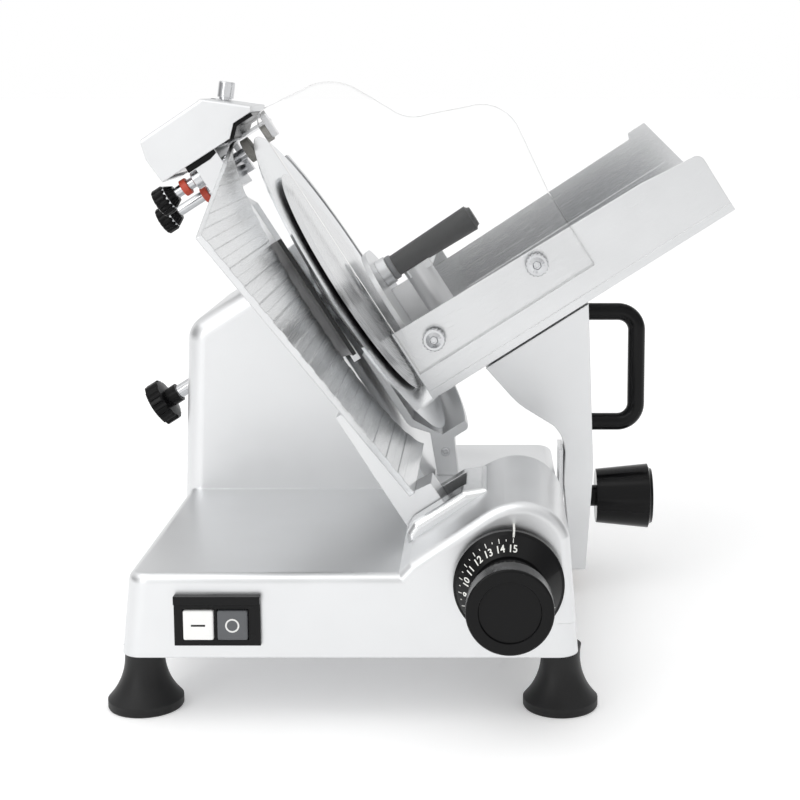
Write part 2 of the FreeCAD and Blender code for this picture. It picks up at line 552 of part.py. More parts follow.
def drive():
    """Motor, its pulley and the belt."""
    at = ("0", "motor_y", "motor_z")
    node("motor_body", turned("motor_can", "motor", "X", at), leaning=True)
    node("motor_shaft", cylinder("motor_spindle", "X", ("motor_end + 0.1", "motor_y", "motor_z"),
                                 "motor_shaft_radius", "16"), leaning=True)
    node("motor_pulley", tube("motor_wheel", "X", ("belt_start", "motor_y", "motor_z"), "motor_pulley",
                              "motor_shaft_radius", "belt_width"), leaning=True)
    belt = doc.addObject("Part::Feature", "belt_loop")
    belt.Shape = belt_shape()
    node("drive_belt", belt, leaning=True)
    node("capacitor", cylinder("capacitor_can", "X", ("-105", "70", "66"), "17", "62"))


def belt_shape():
    """Belt round both pulleys, with its outside tangent lines."""
    big = Vector(size("belt_start"), size("blade_y"), size("blade_z"))
    small = Vector(size("belt_start"), size("motor_y"), size("motor_z"))
    solids = []
    for extra in (size("belt_gap") + size("belt_thick"), size("belt_gap")):
        large_r = size("blade_pulley") + extra
        small_r = size("motor_pulley") + extra
        between = small - big
        swing = math.acos((large_r - small_r) / between.Length)
        heading = math.atan2(between.z, between.y)
        points = []
        for centre, radius in ((big, large_r), (small, small_r)):
            for turn in (swing, -swing):
                points.append(centre + Vector(0, math.cos(heading + turn), math.sin(heading + turn)) * radius)
        back = big - between.normalize() * large_r
        front = small + between * small_r
        edges = [Part.Arc(points[0], back, points[1]).toShape(),
                 Part.LineSegment(points[1], points[3]).toShape(),
                 Part.Arc(points[3], front, points[2]).toShape(),
                 Part.LineSegment(points[2], points[0]).toShape()]
        solids.append(Part.Face(Part.Wire(edges)).extrude(Vector(size("belt_width"), 0, 0)))
    return solids[0].cut(solids[1])


def carriage():
    """Sliding carriage: arm, slide block, food tray, clear guard, handle and pusher rod."""
    arm = slab("arm_pad", "arm", "XZ", "arm_front", "arm_back")
    seat = cylinder("knob_seat", "X", ("149", "handle_y", "knob_z"), "5.06", "20")
    node("carriage_arm", cut("arm_cut", arm, seat))
    slide = fuse("slide_solid", [
        box("slide_sleeve", ("99", "250", "36"), ("123", "290", "60")),
        box("slide_foot", ("99", "250", "22"), ("143.8", "290", "36"))])
    node("carriage_slide_block", cut("slide_cut", slide, cylinder(
        "slide_bore", "Y", ("rod_x", "240", "rod_z"), "rod_radius + run_gap", "60")))
    node("arm_strip", box("strip", ("135.3", "245", "69"), ("138.5", "280", "108")))
    walls = [slab("front_wall_pad", "tray_front_wall", "XZ", "tray_front", "tray_front + tray_sheet"),
             slab("back_wall_pad", "tray_back_wall", "XZ", "tray_back - tray_sheet", "tray_back"),
             box("floor_sheet", ("tray_start", "tray_front", "tray_floor"),
                 ("tray_end", "tray_back", "tray_floor + tray_sheet")),
             box("hem_strip", ("tray_start", "tray_front - hem_depth", "tray_floor"),
                 ("tray_end", "tray_front", "tray_floor + hem_height"))]
    floor_top = "tray_floor + tray_sheet"
    for number in range(int(size("floor_ribs"))):
        left = f"tray_front + 12 + {number} * floor_rib_pitch"
        walls.append(box(f"floor_rib_{number}", ("tray_start", left, f"{floor_top} - 0.5"),
                         ("tray_end - 2", f"{left} + floor_rib_width", f"{floor_top} + floor_rib")))
    for number in range(4):
        height = f"tray_floor + 10 + {number} * 8"
        walls.append(box(f"wall_rib_{number}", ("tray_start", "tray_back - tray_sheet - floor_rib", height),
                         ("tray_end - 10", "tray_back - tray_sheet + 0.5", f"{height} + 2.5")))
    node("food_tray", fuse("tray_solid", walls), leaning=True)
    panel = slab("guard_pad", "guard", "XZ", "guard_back - guard_sheet", "guard_back")
    posts = [("near", "141.5", "141"), ("far", "233", "147")]
    holes = fuse("guard_holes", [cylinder(f"guard_hole_{name}", "Y", (across, "220", up), "3.1", "10")
                                 for name, across, up in posts])
    node("hand_guard", cut("guard_cut", panel, holes), leaning=True)
    clamps = []
    for name, across, up in posts:
        clamps += [cylinder(f"clamp_stud_{name}", "Y", (across, "223.9", up), "3", "6"),
                   cylinder(f"clamp_head_{name}", "Y", (across, "217", up), "7.5", "6.9")]
    node("guard_clamps", fuse("clamp_set", clamps), leaning=True)
    node("carriage_handle", handle())
    node("pusher_rod", fuse("push_rod_solid", [
        cylinder("push_rod_bar", "X", ("128", "push_rod_y", "push_rod_z"), "push_rod_radius", "236"),
        box("push_rod_end_low", ("122", "tray_back + 0.1", "push_rod_z - 8"),
            ("130", "push_rod_y + 7", "push_rod_z + 8")),
        box("push_rod_end_high", ("360", "tray_back + 0.1", "push_rod_z - 8"),
            ("368", "push_rod_y + 7", "push_rod_z + 8"))]), leaning=True)
    node("carriage_guide_rod", cylinder("guide_bar", "Y", ("rod_x", "wall + 0.1", "rod_z"), "rod_radius",
                                        "base_depth - 2 * wall - 0.2"))
    node("carriage_knob", turned("clamp_knob", "carriage_knob", "X", ("0", "handle_y", "knob_z")))


def handle():
    """Round bar bent into a D, swept along its centre line."""
    left, right, low, high, bend = (size(name) for name in (
        "handle_left", "handle_right", "handle_low", "handle_high", "handle_bend"))
    y = size("handle_y")
    slant = bend * math.sqrt(0.5)
    low_arc = Part.Arc(Vector(right - bend, y, low), Vector(right - bend + slant, y, low + bend - slant),
                       Vector(right, y, low + bend))
    high_arc = Part.Arc(Vector(right, y, high - bend), Vector(right - bend + slant, y, high - bend + slant),
                        Vector(right - bend, y, high))
    path = Part.Wire([Part.LineSegment(Vector(left, y, low), low_arc.StartPoint).toShape(),
                      low_arc.toShape(),
                      Part.LineSegment(low_arc.EndPoint, high_arc.StartPoint).toShape(),
                      high_arc.toShape(),
                      Part.LineSegment(high_arc.EndPoint, Vector(left - 3, y, high)).toShape()])
    section = Part.Wire(Part.Circle(Vector(left, y, low), Vector(1, 0, 0), size("handle_radius")).toShape())
    bar = doc.addObject("Part::Feature", "handle_bar")
    bar.Shape = path.makePipeShell([section], True, False)
    return bar


def pusher():
    """Meat pusher that slides along its rod and swings over the tray's back wall."""
    node("pusher_sleeve", tube("sleeve", "X", ("138", "push_rod_y", "push_rod_z"), "9",
                               "push_rod_radius + run_gap", "34"), leaning=True)
    arm = fuse("push_arm_solid", [
        box("push_arm_upright", ("144", "push_rod_y - 3", "push_rod_z + 9.1"), ("164", "push_rod_y + 3", "188")),
        box("push_arm_bridge", ("144", "push_handle_y - 9", "182"), ("164", "push_rod_y + 3", "188")),
        cylinder("push_arm_post", "Z", ("push_post_x", "push_handle_y", "push_post_low"), "push_post_radius",
                 "188 - push_post_low"),
        box("push_arm_web", ("plate_end + 0.1", "push_handle_y - 4", "push_post_low - 30"),
            ("push_post_x", "push_handle_y + 4", "182")),
        cylinder("push_arm_boss", "X", ("plate_end + 0.1", "push_handle_y", "push_axis_z"), "push_boss_radius",
                 "push_boss_length")])
    node("pusher_arm", arm, leaning=True)
    plate = slab("push_plate", "push_plate", "YZ", "plate_start", "plate_end")
    spikes = []
    for row in range(4):
        for column in range(5):
            at = ("plate_start - spike_length", f"plate_front + 14 + {column} * spike_pitch_y",
                  f"118 + {row} * spike_pitch_z")
            spike = doc.addObject("Part::Cone", f"spike_{row}_{column}")
            bind(spike, Radius1="0.3", Radius2="spike_radius", Height="spike_length + 0.5")
            spike.Placement = Placement(Vector(), Rotation(Vector(0, 0, 1), DIRECTIONS["X"]))
            bind_point(spike, "Placement.Base", at)
            spikes.append(spike)
    node("pusher_plate", fuse("push_plate_solid", [plate] + spikes), leaning=True)
    grip = turned("push_grip", "push_handle", "X", ("0", "push_handle_y", "push_axis_z"))
    node("pusher_handle", grip, leaning=True)


def on_slope(name, thing):
    """Stand a piece, drawn upright at the origin, on the cap's slope."""
    group = doc.addObject("Part::Compound", name)
    group.Links = [thing]
    group.Placement = Placement(Vector(), Rotation(Vector(0, 1, 0), 1))
    bind(group, Placement__Rotation__Angle="screw_lean")
    bind_point(group, "Placement.Base", ("screw_n", "blade_y", "screw_m"))
    return group


def sharpener():
    """Sharpener over the top of the blade: bracket, lifting head and two sprung pushers."""
    node("sharpener_bracket", fuse("bracket_solid", [
        slab("bracket_pad", "sharpener_bracket", "XZ", "blade_y - 12", "blade_y + 12"),
        cylinder("bracket_post", "Z", ("post_x", "blade_y", "299"), "post_radius", "62")]), leaning=True)
    shell = slab("cap_shell", "sharpener_shell", "XZ", "sharp_front", "sharp_back")
    rounded(shell, "2.4", lambda middle, edge: middle.z > 350 and edge.Length > 20)
    hollow = slab("cap_hollow", "sharpener_hollow", "XZ", "sharp_front + sharp_sheet",
                  "sharp_back - sharp_sheet")
    screw_hole = on_slope("cap_screw_way", cylinder("cap_screw_hole", "Z", ("0", "0", "-10"), "3.3", "20"))
    node("sharpener_cover", cut("cap_cut", shell, fuse("cap_cuts", [hollow, screw_hole])), leaning=True)
    frame = fuse("frame_solid", [
        box("frame_block", ("67.5", "sharp_front + 3", "308"), ("86.5", "sharp_back - 3", "340")),
        box("frame_top", ("50", "sharp_front + 3", "340"), ("90", "sharp_back - 3", "345"))])
    frame_holes = fuse("frame_holes", [
        cylinder("frame_post_way", "Z", ("post_x", "blade_y", "290"), "post_radius + run_gap", "80"),
        cylinder("frame_grind_way", "X", ("40", "grind_y", "grind_z"), "stem_radius + run_gap", "70"),
        cylinder("frame_hone_way", "X", ("40", "hone_y", "hone_z"), "stem_radius + run_gap", "70")])
    node("sharpener_frame", cut("frame_cut", frame, frame_holes), leaning=True)
    screw = doc.addObject("Part::Compound", "thumb_screw_group")
    screw.Links = [on_slope("thumb_screw_seat", turned("cap_screw", "thumb_screw", "Z", ("0", "0", "0")))]
    node("thumb_screw", screw, leaning=True)
    for name, row, far_end in (("grinding", "grind", "90"), ("honing", "hone", "94")):
        at = (f"{30 if row == 'grind' else 14}", f"{row}_y", f"{row}_z")
        knob = turned(f"{name}_knob", "push_knob", "X", at)
        stem = cylinder(f"{name}_stem", "X", (f"{at[0]} + 15", at[1], at[2]), "stem_radius",
                        f"{far_end} - {at[0]} - 15")
        pieces = [knob, stem]
        if row == "hone":
            pieces += [box("hone_riser", ("90", "hone_y - 4", "hone_z - 4"), ("94", "hone_y + 4", "338.8")),
                       box("hone_cross", ("90", "hone_y - 26", "336.8"), ("124", "hone_y + 4", "338.8")),
                       box("hone_drop", ("121.5", "hone_y - 26", "325"), ("125.5", "hone_y - 14", "342.5"))]
        else:
            pieces += [box("grind_link", ("88.5", "grind_y - 4", "grind_z - 7"), ("91.5", "256", "331")),
                       cylinder("grind_post", "X", ("91", "251", "327"), "stem_radius", "7")]
        node(f"{name}_pusher", fuse(f"{name}_push_solid", pieces), leaning=True)
    node("grinding_stone", cylinder("grind_disc", "X", ("98", "251", "327"), "9", "6"), leaning=True)
    node("honing_stone", cylinder("hone_disc", "X", ("117.5", "hone_y - 20", "hone_stone_z"), "stone_radius",
                                  "3.9"), leaning=True)


def small_parts():
    """Cover sheet under the base and the cord gland at the back."""
    sheet_low = ("cover_left", "cover_gap", "base_bottom + 1")
    sheet_high = ("cover_right", "base_depth - cover_gap", "base_bottom + 1 + cover_sheet")
    cover = box("cover_plate", sheet_low, sheet_high)
    reliefs = fuse("cover_reliefs", [
        cylinder(f"relief_{row}", "Z", ("-foot_x", row, "base_bottom"), "boss_radius + 2", "6")
        for row in ("foot_front", "foot_back")])
    node("bottom_cover", cut("cover_cut", cover, reliefs))
    node("cable_gland", fuse("gland", [
        cylinder("gland_neck", "Y", ("-100", "base_depth - wall - 4", "62"), "6", "wall + 5"),
        cylinder("gland_nut", "Y", ("-100", "base_depth + 0.1", "62"), "9", "5"),
        cylinder("gland_nose", "Y", ("-100", "base_depth + 1", "62"), "6.5", "13")]))


def check_and_write():
    """Stop on any failed object or shape, then write one file for each sub-part."""
    doc.recompute()
    for thing in doc.Objects:
        if "Invalid" in thing.State or "Error" in thing.State:
            raise RuntimeError(f"{thing.Name} failed: {thing.State}")
    os.makedirs("parts", exist_ok=True)
    for thing in NODES:
        if thing.Shape.isNull() or not thing.Shape.isValid() or not thing.Shape.Solids:
            raise RuntimeError(f"{thing.Label} has no sound shape")
        thing.Shape.exportStep(f"parts/{thing.Label}.step")
    box_all = Part.makeCompound([thing.Shape for thing in NODES]).BoundBox
    print(f"{len(NODES)} sub-parts, box {box_all}")


node("base_casting", base_casting())
feet()
switch()
dial()
gauge()
blade_group()
drive()
carriage()
pusher()
sharpener()
small_parts()
check_and_write()
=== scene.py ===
"""Deli meat slicer: metal, plastic and rubber finishes, dial printing and small fittings on the
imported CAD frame.  Laid out as an add-on; every length is in metres unless a name says mm."""
import math

import bmesh
import bpy
from bpy.props import FloatProperty, FloatVectorProperty, IntProperty, PointerProperty
from mathutils import Matrix, Vector


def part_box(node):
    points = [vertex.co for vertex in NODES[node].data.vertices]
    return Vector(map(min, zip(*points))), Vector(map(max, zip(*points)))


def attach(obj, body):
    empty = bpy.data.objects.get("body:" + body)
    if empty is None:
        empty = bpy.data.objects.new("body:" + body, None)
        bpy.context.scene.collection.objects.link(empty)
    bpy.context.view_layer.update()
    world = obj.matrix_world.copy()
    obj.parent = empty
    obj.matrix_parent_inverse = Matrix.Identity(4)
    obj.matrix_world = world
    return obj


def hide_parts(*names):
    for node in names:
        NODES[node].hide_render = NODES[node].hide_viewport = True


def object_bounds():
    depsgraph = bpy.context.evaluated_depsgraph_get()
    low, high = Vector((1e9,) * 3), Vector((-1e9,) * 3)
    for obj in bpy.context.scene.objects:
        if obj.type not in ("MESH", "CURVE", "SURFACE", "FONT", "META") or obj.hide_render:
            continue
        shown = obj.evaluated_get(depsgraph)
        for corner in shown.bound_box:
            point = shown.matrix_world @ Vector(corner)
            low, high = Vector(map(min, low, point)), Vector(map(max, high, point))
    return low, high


bl_info = {
    "name": "Deli Meat Slicer",
    "version": (1, 0, 0),
    "blender": (4, 5, 0),
    "location": "3D View > Sidebar > Slicer",
    "description": "Finishes a tilted-blade deli slicer and adds its printing and small fittings",
    "category": "Object",
}

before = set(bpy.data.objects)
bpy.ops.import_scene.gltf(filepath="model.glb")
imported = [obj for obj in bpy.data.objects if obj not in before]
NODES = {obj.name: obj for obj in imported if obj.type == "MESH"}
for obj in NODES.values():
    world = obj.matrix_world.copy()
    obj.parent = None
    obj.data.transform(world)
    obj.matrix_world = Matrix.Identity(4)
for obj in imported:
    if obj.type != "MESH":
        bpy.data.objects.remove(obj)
CAD_BOX = [list(corner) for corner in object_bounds()]

MM = 0.001
TILT = math.radians(32.5)
# Where the drawing's front left floor corner lies in the frame.
ORIGIN = Vector((-0.045232, -0.194, 0.0))
ACROSS = Vector((math.cos(TILT), 0.0, math.sin(TILT)))
ALONG_Y = Vector((0.0, 1.0, 0.0))
UP_BLADE = Vector((-math.sin(TILT), 0.0, math.cos(TILT)))
UPRIGHT = Matrix.Translation(ORIGIN)
LEANING = Matrix.Translation(ORIGIN) @ Matrix((ACROSS, ALONG_Y, UP_BLADE)).transposed().to_4x4()
BLADE_CENTRE = LEANING @ Vector((0.112, 0.240, 0.2067))
DIAL_CENTRE = UPRIGHT @ Vector((0.095, 0.0, 0.0867))

# Places in millimetres.  On the leaning axes they are across, along Y and up the blade.
PILLAR_SCREW = (51.0, 240.0, 108.0)
CLAMP_FRONT = 216.6
CLAMPS = (("near", 141.5, 141.0), ("far", 233.0, 147.0))
GRIP_FOOT = (134.2, 300.0, 196.0)
# Each sharpener stem: name, body, start of its knob, row along Y and height up the blade.
STEMS = (("grinding", "grinder", 30.0, 215.0, 327.8), ("honing", "honer", 14.0, 265.0, 318.0))
STEM_BORE = 4.03
COLLAR_START, COLLAR_LENGTH = 51.0, 5.0
SLEEVE_START, SLEEVE_LENGTH = 61.0, 6.4
# A black strip along the cap's lower right edge and a black block inside it: painted shade where the cap
# shadows the gap beneath it, made as a seal and a gasket.
CAP_SHADE_STRIP = [(99.8, 338.6), (108.0, 346.2), (122.2, 346.2), (122.2, 343.6), (109.0, 343.6),
            (102.0, 337.2)]
CAP_SHADE_STRIP_ROWS = (206.0, 274.0)
CAP_SHADE_BLOCK = [(62.0, 334.5), (62.0, 344.0), (86.0, 344.0), (86.0, 336.0), (80.0, 334.5)]
CAP_SHADE_BLOCK_ROWS = (207.5, 209.5)
CAP_SLOPE = math.radians(40.4)
SET_SCREW = (100.4, 240.0, 370.95)
# The pointer over the dial, as distance from the dial's axis and depth along Y.
POINTER_PATH = [(34.6, 0.0), (34.6, -13.2), (30.4, -13.9), (30.4, -13.3), (33.7, -12.4), (33.7, 0.0)]
POINTER_HALF_WIDTH = 0.6

# Darker panels round the pale studio: direction, half width in degrees and depth of shade.
STUDIO_PANELS = (((0.6, -0.75, 0.25), 50.0, 0.36), ((-1.0, -0.05, 0.1), 42.0, 0.75),
                 ((1.0, 0.1, 0.3), 44.0, 0.7), ((0.1, -1.0, -0.25), 30.0, 0.12),
                 ((-0.3, 0.75, 0.65), 30.0, 0.35))


def linear(code):
    """An sRGB hex colour as the linear red, green and blue that shaders take."""
    parts = [int(code[place:place + 2], 16) / 255 for place in (1, 3, 5)]
    return [part / 12.92 if part <= 0.04045 else ((part + 0.055) / 1.055) ** 2.4 for part in parts]


def colour(name, description, code):
    """A colour property that starts at an sRGB hex value."""
    return FloatVectorProperty(name=name, description=description, subtype="COLOR", size=3,
                               min=0.0, max=1.0, default=linear(code))


def length(name, description, default_mm, low_mm=0.0):
    """A length property given in millimetres and kept in metres."""
    return FloatProperty(name=name, description=description, default=default_mm * MM,
                         min=low_mm * MM, subtype="DISTANCE", unit="LENGTH", precision=5)


def factor(name, description, default):
    """A share from none to all."""
    return FloatProperty(name=name, description=description, default=default, min=0.0, max=1.0,
                         subtype="FACTOR")


def in_metres(points):
    """Outline points given in millimetres, in metres."""
    return [(along * MM, outward * MM) for along, outward in points]


def on_blade(place):
    """A place given in millimetres on the leaning axes, in the frame."""
    return LEANING @ (Vector(place) * MM)


class MetalFinish(bpy.types.PropertyGroup):
    """Colours and polish of the castings, sheets and turned parts."""
    cast: colour("Cast aluminium", "Buffed body castings", "#e3e4e5")
    sheet: colour("Anodised sheet", "Gauge plate and food tray", "#dfe0e1")
    steel: colour("Blade steel", "Hard-chromed knife", "#dfe1e3")
    bright: colour("Bright steel", "Rods, studs and screws", "#d3d4d6")
    dark: colour("Dull steel", "Motor shaft and other hidden parts", "#8d9094")
    cast_roughness: factor("Casting roughness", "How satin the buffed castings are", 0.36)
    sheet_roughness: factor("Sheet roughness", "How satin the anodised sheets are", 0.24)
    steel_roughness: factor("Blade roughness", "How satin the knife is", 0.16)
    brush_width: length("Brush line", "Width of one brushed line", 0.3, 0.05)


class PlasticFinish(bpy.types.PropertyGroup):
    """Colours and gloss of the mouldings, the rubber and the printing."""
    black: colour("Black moulding", "Knobs, dial and handle", "#060607")
    grip: colour("Pusher grip", "Satin grip on the meat pusher", "#202123")
    bezel: colour("Switch frame", "Satin frame round the switches", "#0e0e0f")
    start: colour("Start button", "Moulded white button", "#f4f4f2")
    stop: colour("Stop button", "Moulded grey button", "#55575a")
    print_white: colour("White print", "Numerals, ticks and pointer", "#f5f5f0")
    rubber: colour("Rubber", "Feet and belt", "#121213")
    collar: colour("Orange collar", "Stop collars on the sharpener stems", "#c0452c")
    acrylic: colour("Clear acrylic", "Hand guard", "#ffffff")
    gloss: factor("Gloss roughness", "Roughness of the polished black mouldings", 0.16)


class DialPrint(bpy.types.PropertyGroup):
    """Numerals and ticks on the thickness dial."""
    numeral_height: length("Numeral height", "Height of a numeral along the dial's slope", 5.4, 1.0)
    numeral_radius: length("Numeral radius", "Distance of the numerals from the axis", 25.1, 10.0)
    tick_radius: length("Tick radius", "Distance of the ticks from the dial's axis", 28.6, 10.0)
    step: FloatProperty(name="Step", description="Turn from one numeral to the next",
                        default=math.radians(16.7), subtype="ANGLE")
    first: FloatProperty(name="Start", description="Turn of the highest numeral from the top",
                         default=math.radians(4.9), subtype="ANGLE")
    highest: IntProperty(name="Highest numeral", description="Thickness in millimetres at rest",
                         default=15, min=1, max=20)


class SharpenerSizes(bpy.types.PropertyGroup):
    """Push knob rims, sleeves and collars of the sharpener."""
    rim_radius: length("Rim radius", "Outside of the fluted rims", 10.3, 9.2)
    rim_width: length("Rim width", "Length of the fluted rims", 8.0, 2.0)
    flutes: IntProperty(name="Flutes", description="Flutes round each rim", default=14, min=6, max=40)
    collar_radius: length("Collar radius", "Outside of the orange collars", 6.2, 4.2)
    sleeve_radius: length("Sleeve radius", "Outside of the bright sleeves", 6.8, 4.2)


class StudioLook(bpy.types.PropertyGroup):
    """Camera, floor and light of the stage."""
    lens: FloatProperty(name="Lens", description="Focal length on a 36 mm wide sensor in millimetres",
                        default=70.74, min=10.0)
    rise: FloatProperty(name="Rise", description="Vertical shift of the camera, as a share",
                        default=-0.12, min=-0.2, max=0.2)
    slide: FloatProperty(name="Slide", description="Sideways shift of the camera, as a share",
                         default=-0.11, min=-0.2, max=0.2)
    camera_place: FloatVectorProperty(name="Camera", description="Where the camera stands",
                                      subtype="TRANSLATION", default=(0.0385, -1.0915, 0.3764))
    heading: FloatProperty(name="Heading", description="Turn of the camera from straight ahead",
                           default=-0.0011, subtype="ANGLE")
    pitch: FloatProperty(name="Pitch", description="Tilt of the camera above the horizon",
                         default=-0.1382, subtype="ANGLE")
    floor: colour("Floor", "Pale studio floor", "#fafafa")
    floor_glow: factor("Floor glow", "Light through the studio's lit table top", 0.22)
    sky: FloatProperty(name="Studio light", description="Strength of the pale surroundings",
                       default=1.0, min=0.0)
    softbox: FloatProperty(name="Softbox power", description="Power of the top softbox in watts",
                           default=5.0, min=0.0, unit="POWER")
    strip: FloatProperty(name="Strip power", description="Power of the narrow side softbox in watts",
                         default=2.2, min=0.0, unit="POWER")


class SlicerSettings(bpy.types.PropertyGroup):
    """Everything that a user would change."""
    metal: PointerProperty(name="Metal", description="Metal finishes", type=MetalFinish)
    plastic: PointerProperty(name="Plastic", description="Moulded finishes", type=PlasticFinish)
    dial: PointerProperty(name="Dial", description="Dial printing", type=DialPrint)
    sharpener: PointerProperty(name="Sharpener", description="Sharpener fittings", type=SharpenerSizes)
    studio: PointerProperty(name="Studio", description="Stage, light and camera", type=StudioLook)


# Shader building

def add(tree, kind, inputs=None, **settings):
    """Add one node with its settings; an input given as a socket is linked."""
    made = tree.nodes.new(kind)
    for name, value in settings.items():
        setattr(made, name, value)
    for name, value in (inputs or {}).items():
        if isinstance(value, bpy.types.NodeSocket):
            tree.links.new(value, made.inputs[name])
        else:
            made.inputs[name].default_value = value
    return made


def material(name, base, metallic, roughness, ior=1.5):
    """A material with one principled shader, and its tree and shader."""
    made = bpy.data.materials.new(name)
    made.use_nodes = True
    tree = made.node_tree
    shader = next(node for node in tree.nodes if node.type == "BSDF_PRINCIPLED")
    shader.inputs["Base Color"].default_value = (*base, 1.0)
    shader.inputs["Metallic"].default_value = metallic
    shader.inputs["Roughness"].default_value = roughness
    if not metallic:
        shader.inputs["IOR"].default_value = ior
    return made, tree, shader


def part_space(tree, cell, leaning=False, centre=(0.0, 0.0, 0.0)):
    """Position on the part, counted in cells of a real size along its own axes."""
    place = add(tree, "ShaderNodeTexCoord")
    turn = (0.0, -TILT if leaning else 0.0, 0.0)
    return add(tree, "ShaderNodeMapping", {"Vector": place.outputs["Object"], "Location": centre,
                                           "Rotation": turn, "Scale": cell},
               vector_type="TEXTURE").outputs["Vector"]


def noise(tree, where, detail=3.0, rough=0.55):
    """A noise value between 0 and 1 over cells."""
    return add(tree, "ShaderNodeTexNoise", {"Vector": where, "Scale": 1.0, "Detail": detail,
                                            "Roughness": rough}).outputs["Fac"]


def spread(tree, value, low, high, start=0.3, end=0.7):
    """A value stretched to a new range."""
    return add(tree, "ShaderNodeMapRange", {"Value": value, "From Min": start, "From Max": end,
                                            "To Min": low, "To Max": high}).outputs["Result"]


def tinted(tree, shader, value, base, darker):
    """Let a value shade the base colour between darker and as given."""
    mix = add(tree, "ShaderNodeMix", {"Factor": value}, data_type="RGBA")
    mix.inputs[6].default_value = (*[part * darker for part in base], 1.0)
    mix.inputs[7].default_value = (*base, 1.0)
    tree.links.new(mix.outputs[2], shader.inputs["Base Color"])


def relief(tree, shader, height, depth, eased=0.5 * MM):
    """Bump of a real depth over edges that are eased by a small radius."""
    edge = add(tree, "ShaderNodeBevel", {"Radius": eased}, samples=4)
    bump = add(tree, "ShaderNodeBump", {"Height": height, "Distance": depth, "Strength": 1.0,
                                        "Normal": edge.outputs["Normal"]})
    tree.links.new(bump.outputs["Normal"], shader.inputs["Normal"])


def cast_aluminium(name, metal, rougher=0.0, leaning=False):
    """Sand-cast aluminium, buffed satin: a pale metal with soft clouds in its shine and fine pits."""
    made, tree, shader = material(name, metal.cast, 1.0, metal.cast_roughness + rougher)
    clouds = noise(tree, part_space(tree, (0.05, 0.05, 0.05), leaning), 2.0)
    pits = noise(tree, part_space(tree, (0.0009, 0.0009, 0.0009), leaning), 4.0, 0.6)
    rough = metal.cast_roughness + rougher
    tree.links.new(spread(tree, clouds, rough - 0.05, rough + 0.06), shader.inputs["Roughness"])
    tinted(tree, shader, spread(tree, clouds, 0.2, 1.0), metal.cast, 0.93)
    # Buffed pits are about a millimetre across; drawn shallow so that only the highlights show them.
    relief(tree, shader, pits, 0.012 * MM, 0.9 * MM)
    return made


def brushed_aluminium(name, metal, along, leaning=True, eased=0.5 * MM):
    """Rolled aluminium, brushed and anodised: long fine lines in its shine over a slight waviness."""
    made, tree, shader = material(name, metal.sheet, 1.0, metal.sheet_roughness)
    run = 90 * metal.brush_width
    cell = [run if axis == along else metal.brush_width for axis in range(3)]
    lines = noise(tree, part_space(tree, cell, leaning), 2.0)
    clouds = noise(tree, part_space(tree, (0.04, 0.04, 0.04), leaning), 2.0)
    tree.links.new(spread(tree, lines, metal.sheet_roughness - 0.02, metal.sheet_roughness + 0.04),
                   shader.inputs["Roughness"])
    tinted(tree, shader, spread(tree, clouds, 0.1, 1.0), metal.sheet, 0.95)
    relief(tree, shader, clouds, 0.02 * MM, eased)
    return made


def turned_steel(name, base, rough, ring_mm):
    """Steel ground or turned round the blade's axis: fine rings that carry the highlights round."""
    made, tree, shader = material(name, base, 1.0, rough)
    around = part_space(tree, (1.0, 1.0, 1.0), True, BLADE_CENTRE)
    flat = add(tree, "ShaderNodeVectorMath", {0: around, 1: (0.0, 1.0, 1.0)}, operation="MULTIPLY")
    reach = add(tree, "ShaderNodeVectorMath", {0: flat.outputs["Vector"]}, operation="LENGTH")
    rings = add(tree, "ShaderNodeTexNoise", {"W": reach.outputs["Value"], "Scale": 1 / (ring_mm * MM),
                                             "Detail": 2.0}, noise_dimensions="1D").outputs["Fac"]
    tree.links.new(spread(tree, rings, rough - 0.04, rough + 0.07), shader.inputs["Roughness"])
    tinted(tree, shader, spread(tree, rings, 0.0, 1.0), base, 0.9)
    relief(tree, shader, rings, 0.006 * MM, 0.3 * MM)
    return made


def drawn_steel(name, base, rough, line_mm=0.5):
    """Drawn bar or zinc-plated screw stock: bright, with a faint even grain."""
    made, tree, shader = material(name, base, 1.0, rough)
    grain = noise(tree, part_space(tree, (line_mm * MM,) * 3), 3.0)
    tree.links.new(spread(tree, grain, rough - 0.04, rough + 0.08), shader.inputs["Roughness"])
    tinted(tree, shader, spread(tree, grain, 0.0, 1.0), base, 0.9)
    relief(tree, shader, grain, 0.006 * MM, 0.4 * MM)
    return made


def moulded(name, base, rough, texture_mm=1.1, depth_mm=0.004, ior=1.53, shine=0.5):
    """Moulded plastic: an even colour with a faint mottle, and slight flow marks in its gloss."""
    made, tree, shader = material(name, base, 0.0, rough, ior)
    shader.inputs["Specular IOR Level"].default_value = shine
    grain = noise(tree, part_space(tree, (texture_mm * MM,) * 3), 3.0)
    flow = noise(tree, part_space(tree, (0.02, 0.02, 0.02)), 2.0)
    tree.links.new(spread(tree, flow, rough - 0.05, rough + 0.07), shader.inputs["Roughness"])
    # Handling leaves the surface a trace lighter than the plastic itself.
    handled = [min(1.0, part + 0.003) for part in base]
    tinted(tree, shader, spread(tree, grain, 0.0, 1.0), handled, 0.96)
    relief(tree, shader, flow, depth_mm * MM, 0.6 * MM)
    return made


def moulded_rubber(name, plastic):
    """Moulded rubber: near black, matt with a soft sheen, dusty towards the floor."""
    made, tree, shader = material(name, plastic.rubber, 0.0, 0.52, 1.52)
    grain = noise(tree, part_space(tree, (0.0012,) * 3), 4.0)
    dust = add(tree, "ShaderNodeSeparateXYZ", {"Vector": part_space(tree, (0.02, 0.02, 0.02))})
    low = spread(tree, dust.outputs["Z"], 0.62, 0.46, 0.0, 1.0)
    tree.links.new(low, shader.inputs["Roughness"])
    tinted(tree, shader, spread(tree, grain, 0.0, 1.0), plastic.rubber, 0.75)
    shader.inputs["Sheen Weight"].default_value = 0.05
    shader.inputs["Specular IOR Level"].default_value = 0.35
    relief(tree, shader, grain, 0.02 * MM, 0.8 * MM)
    return made


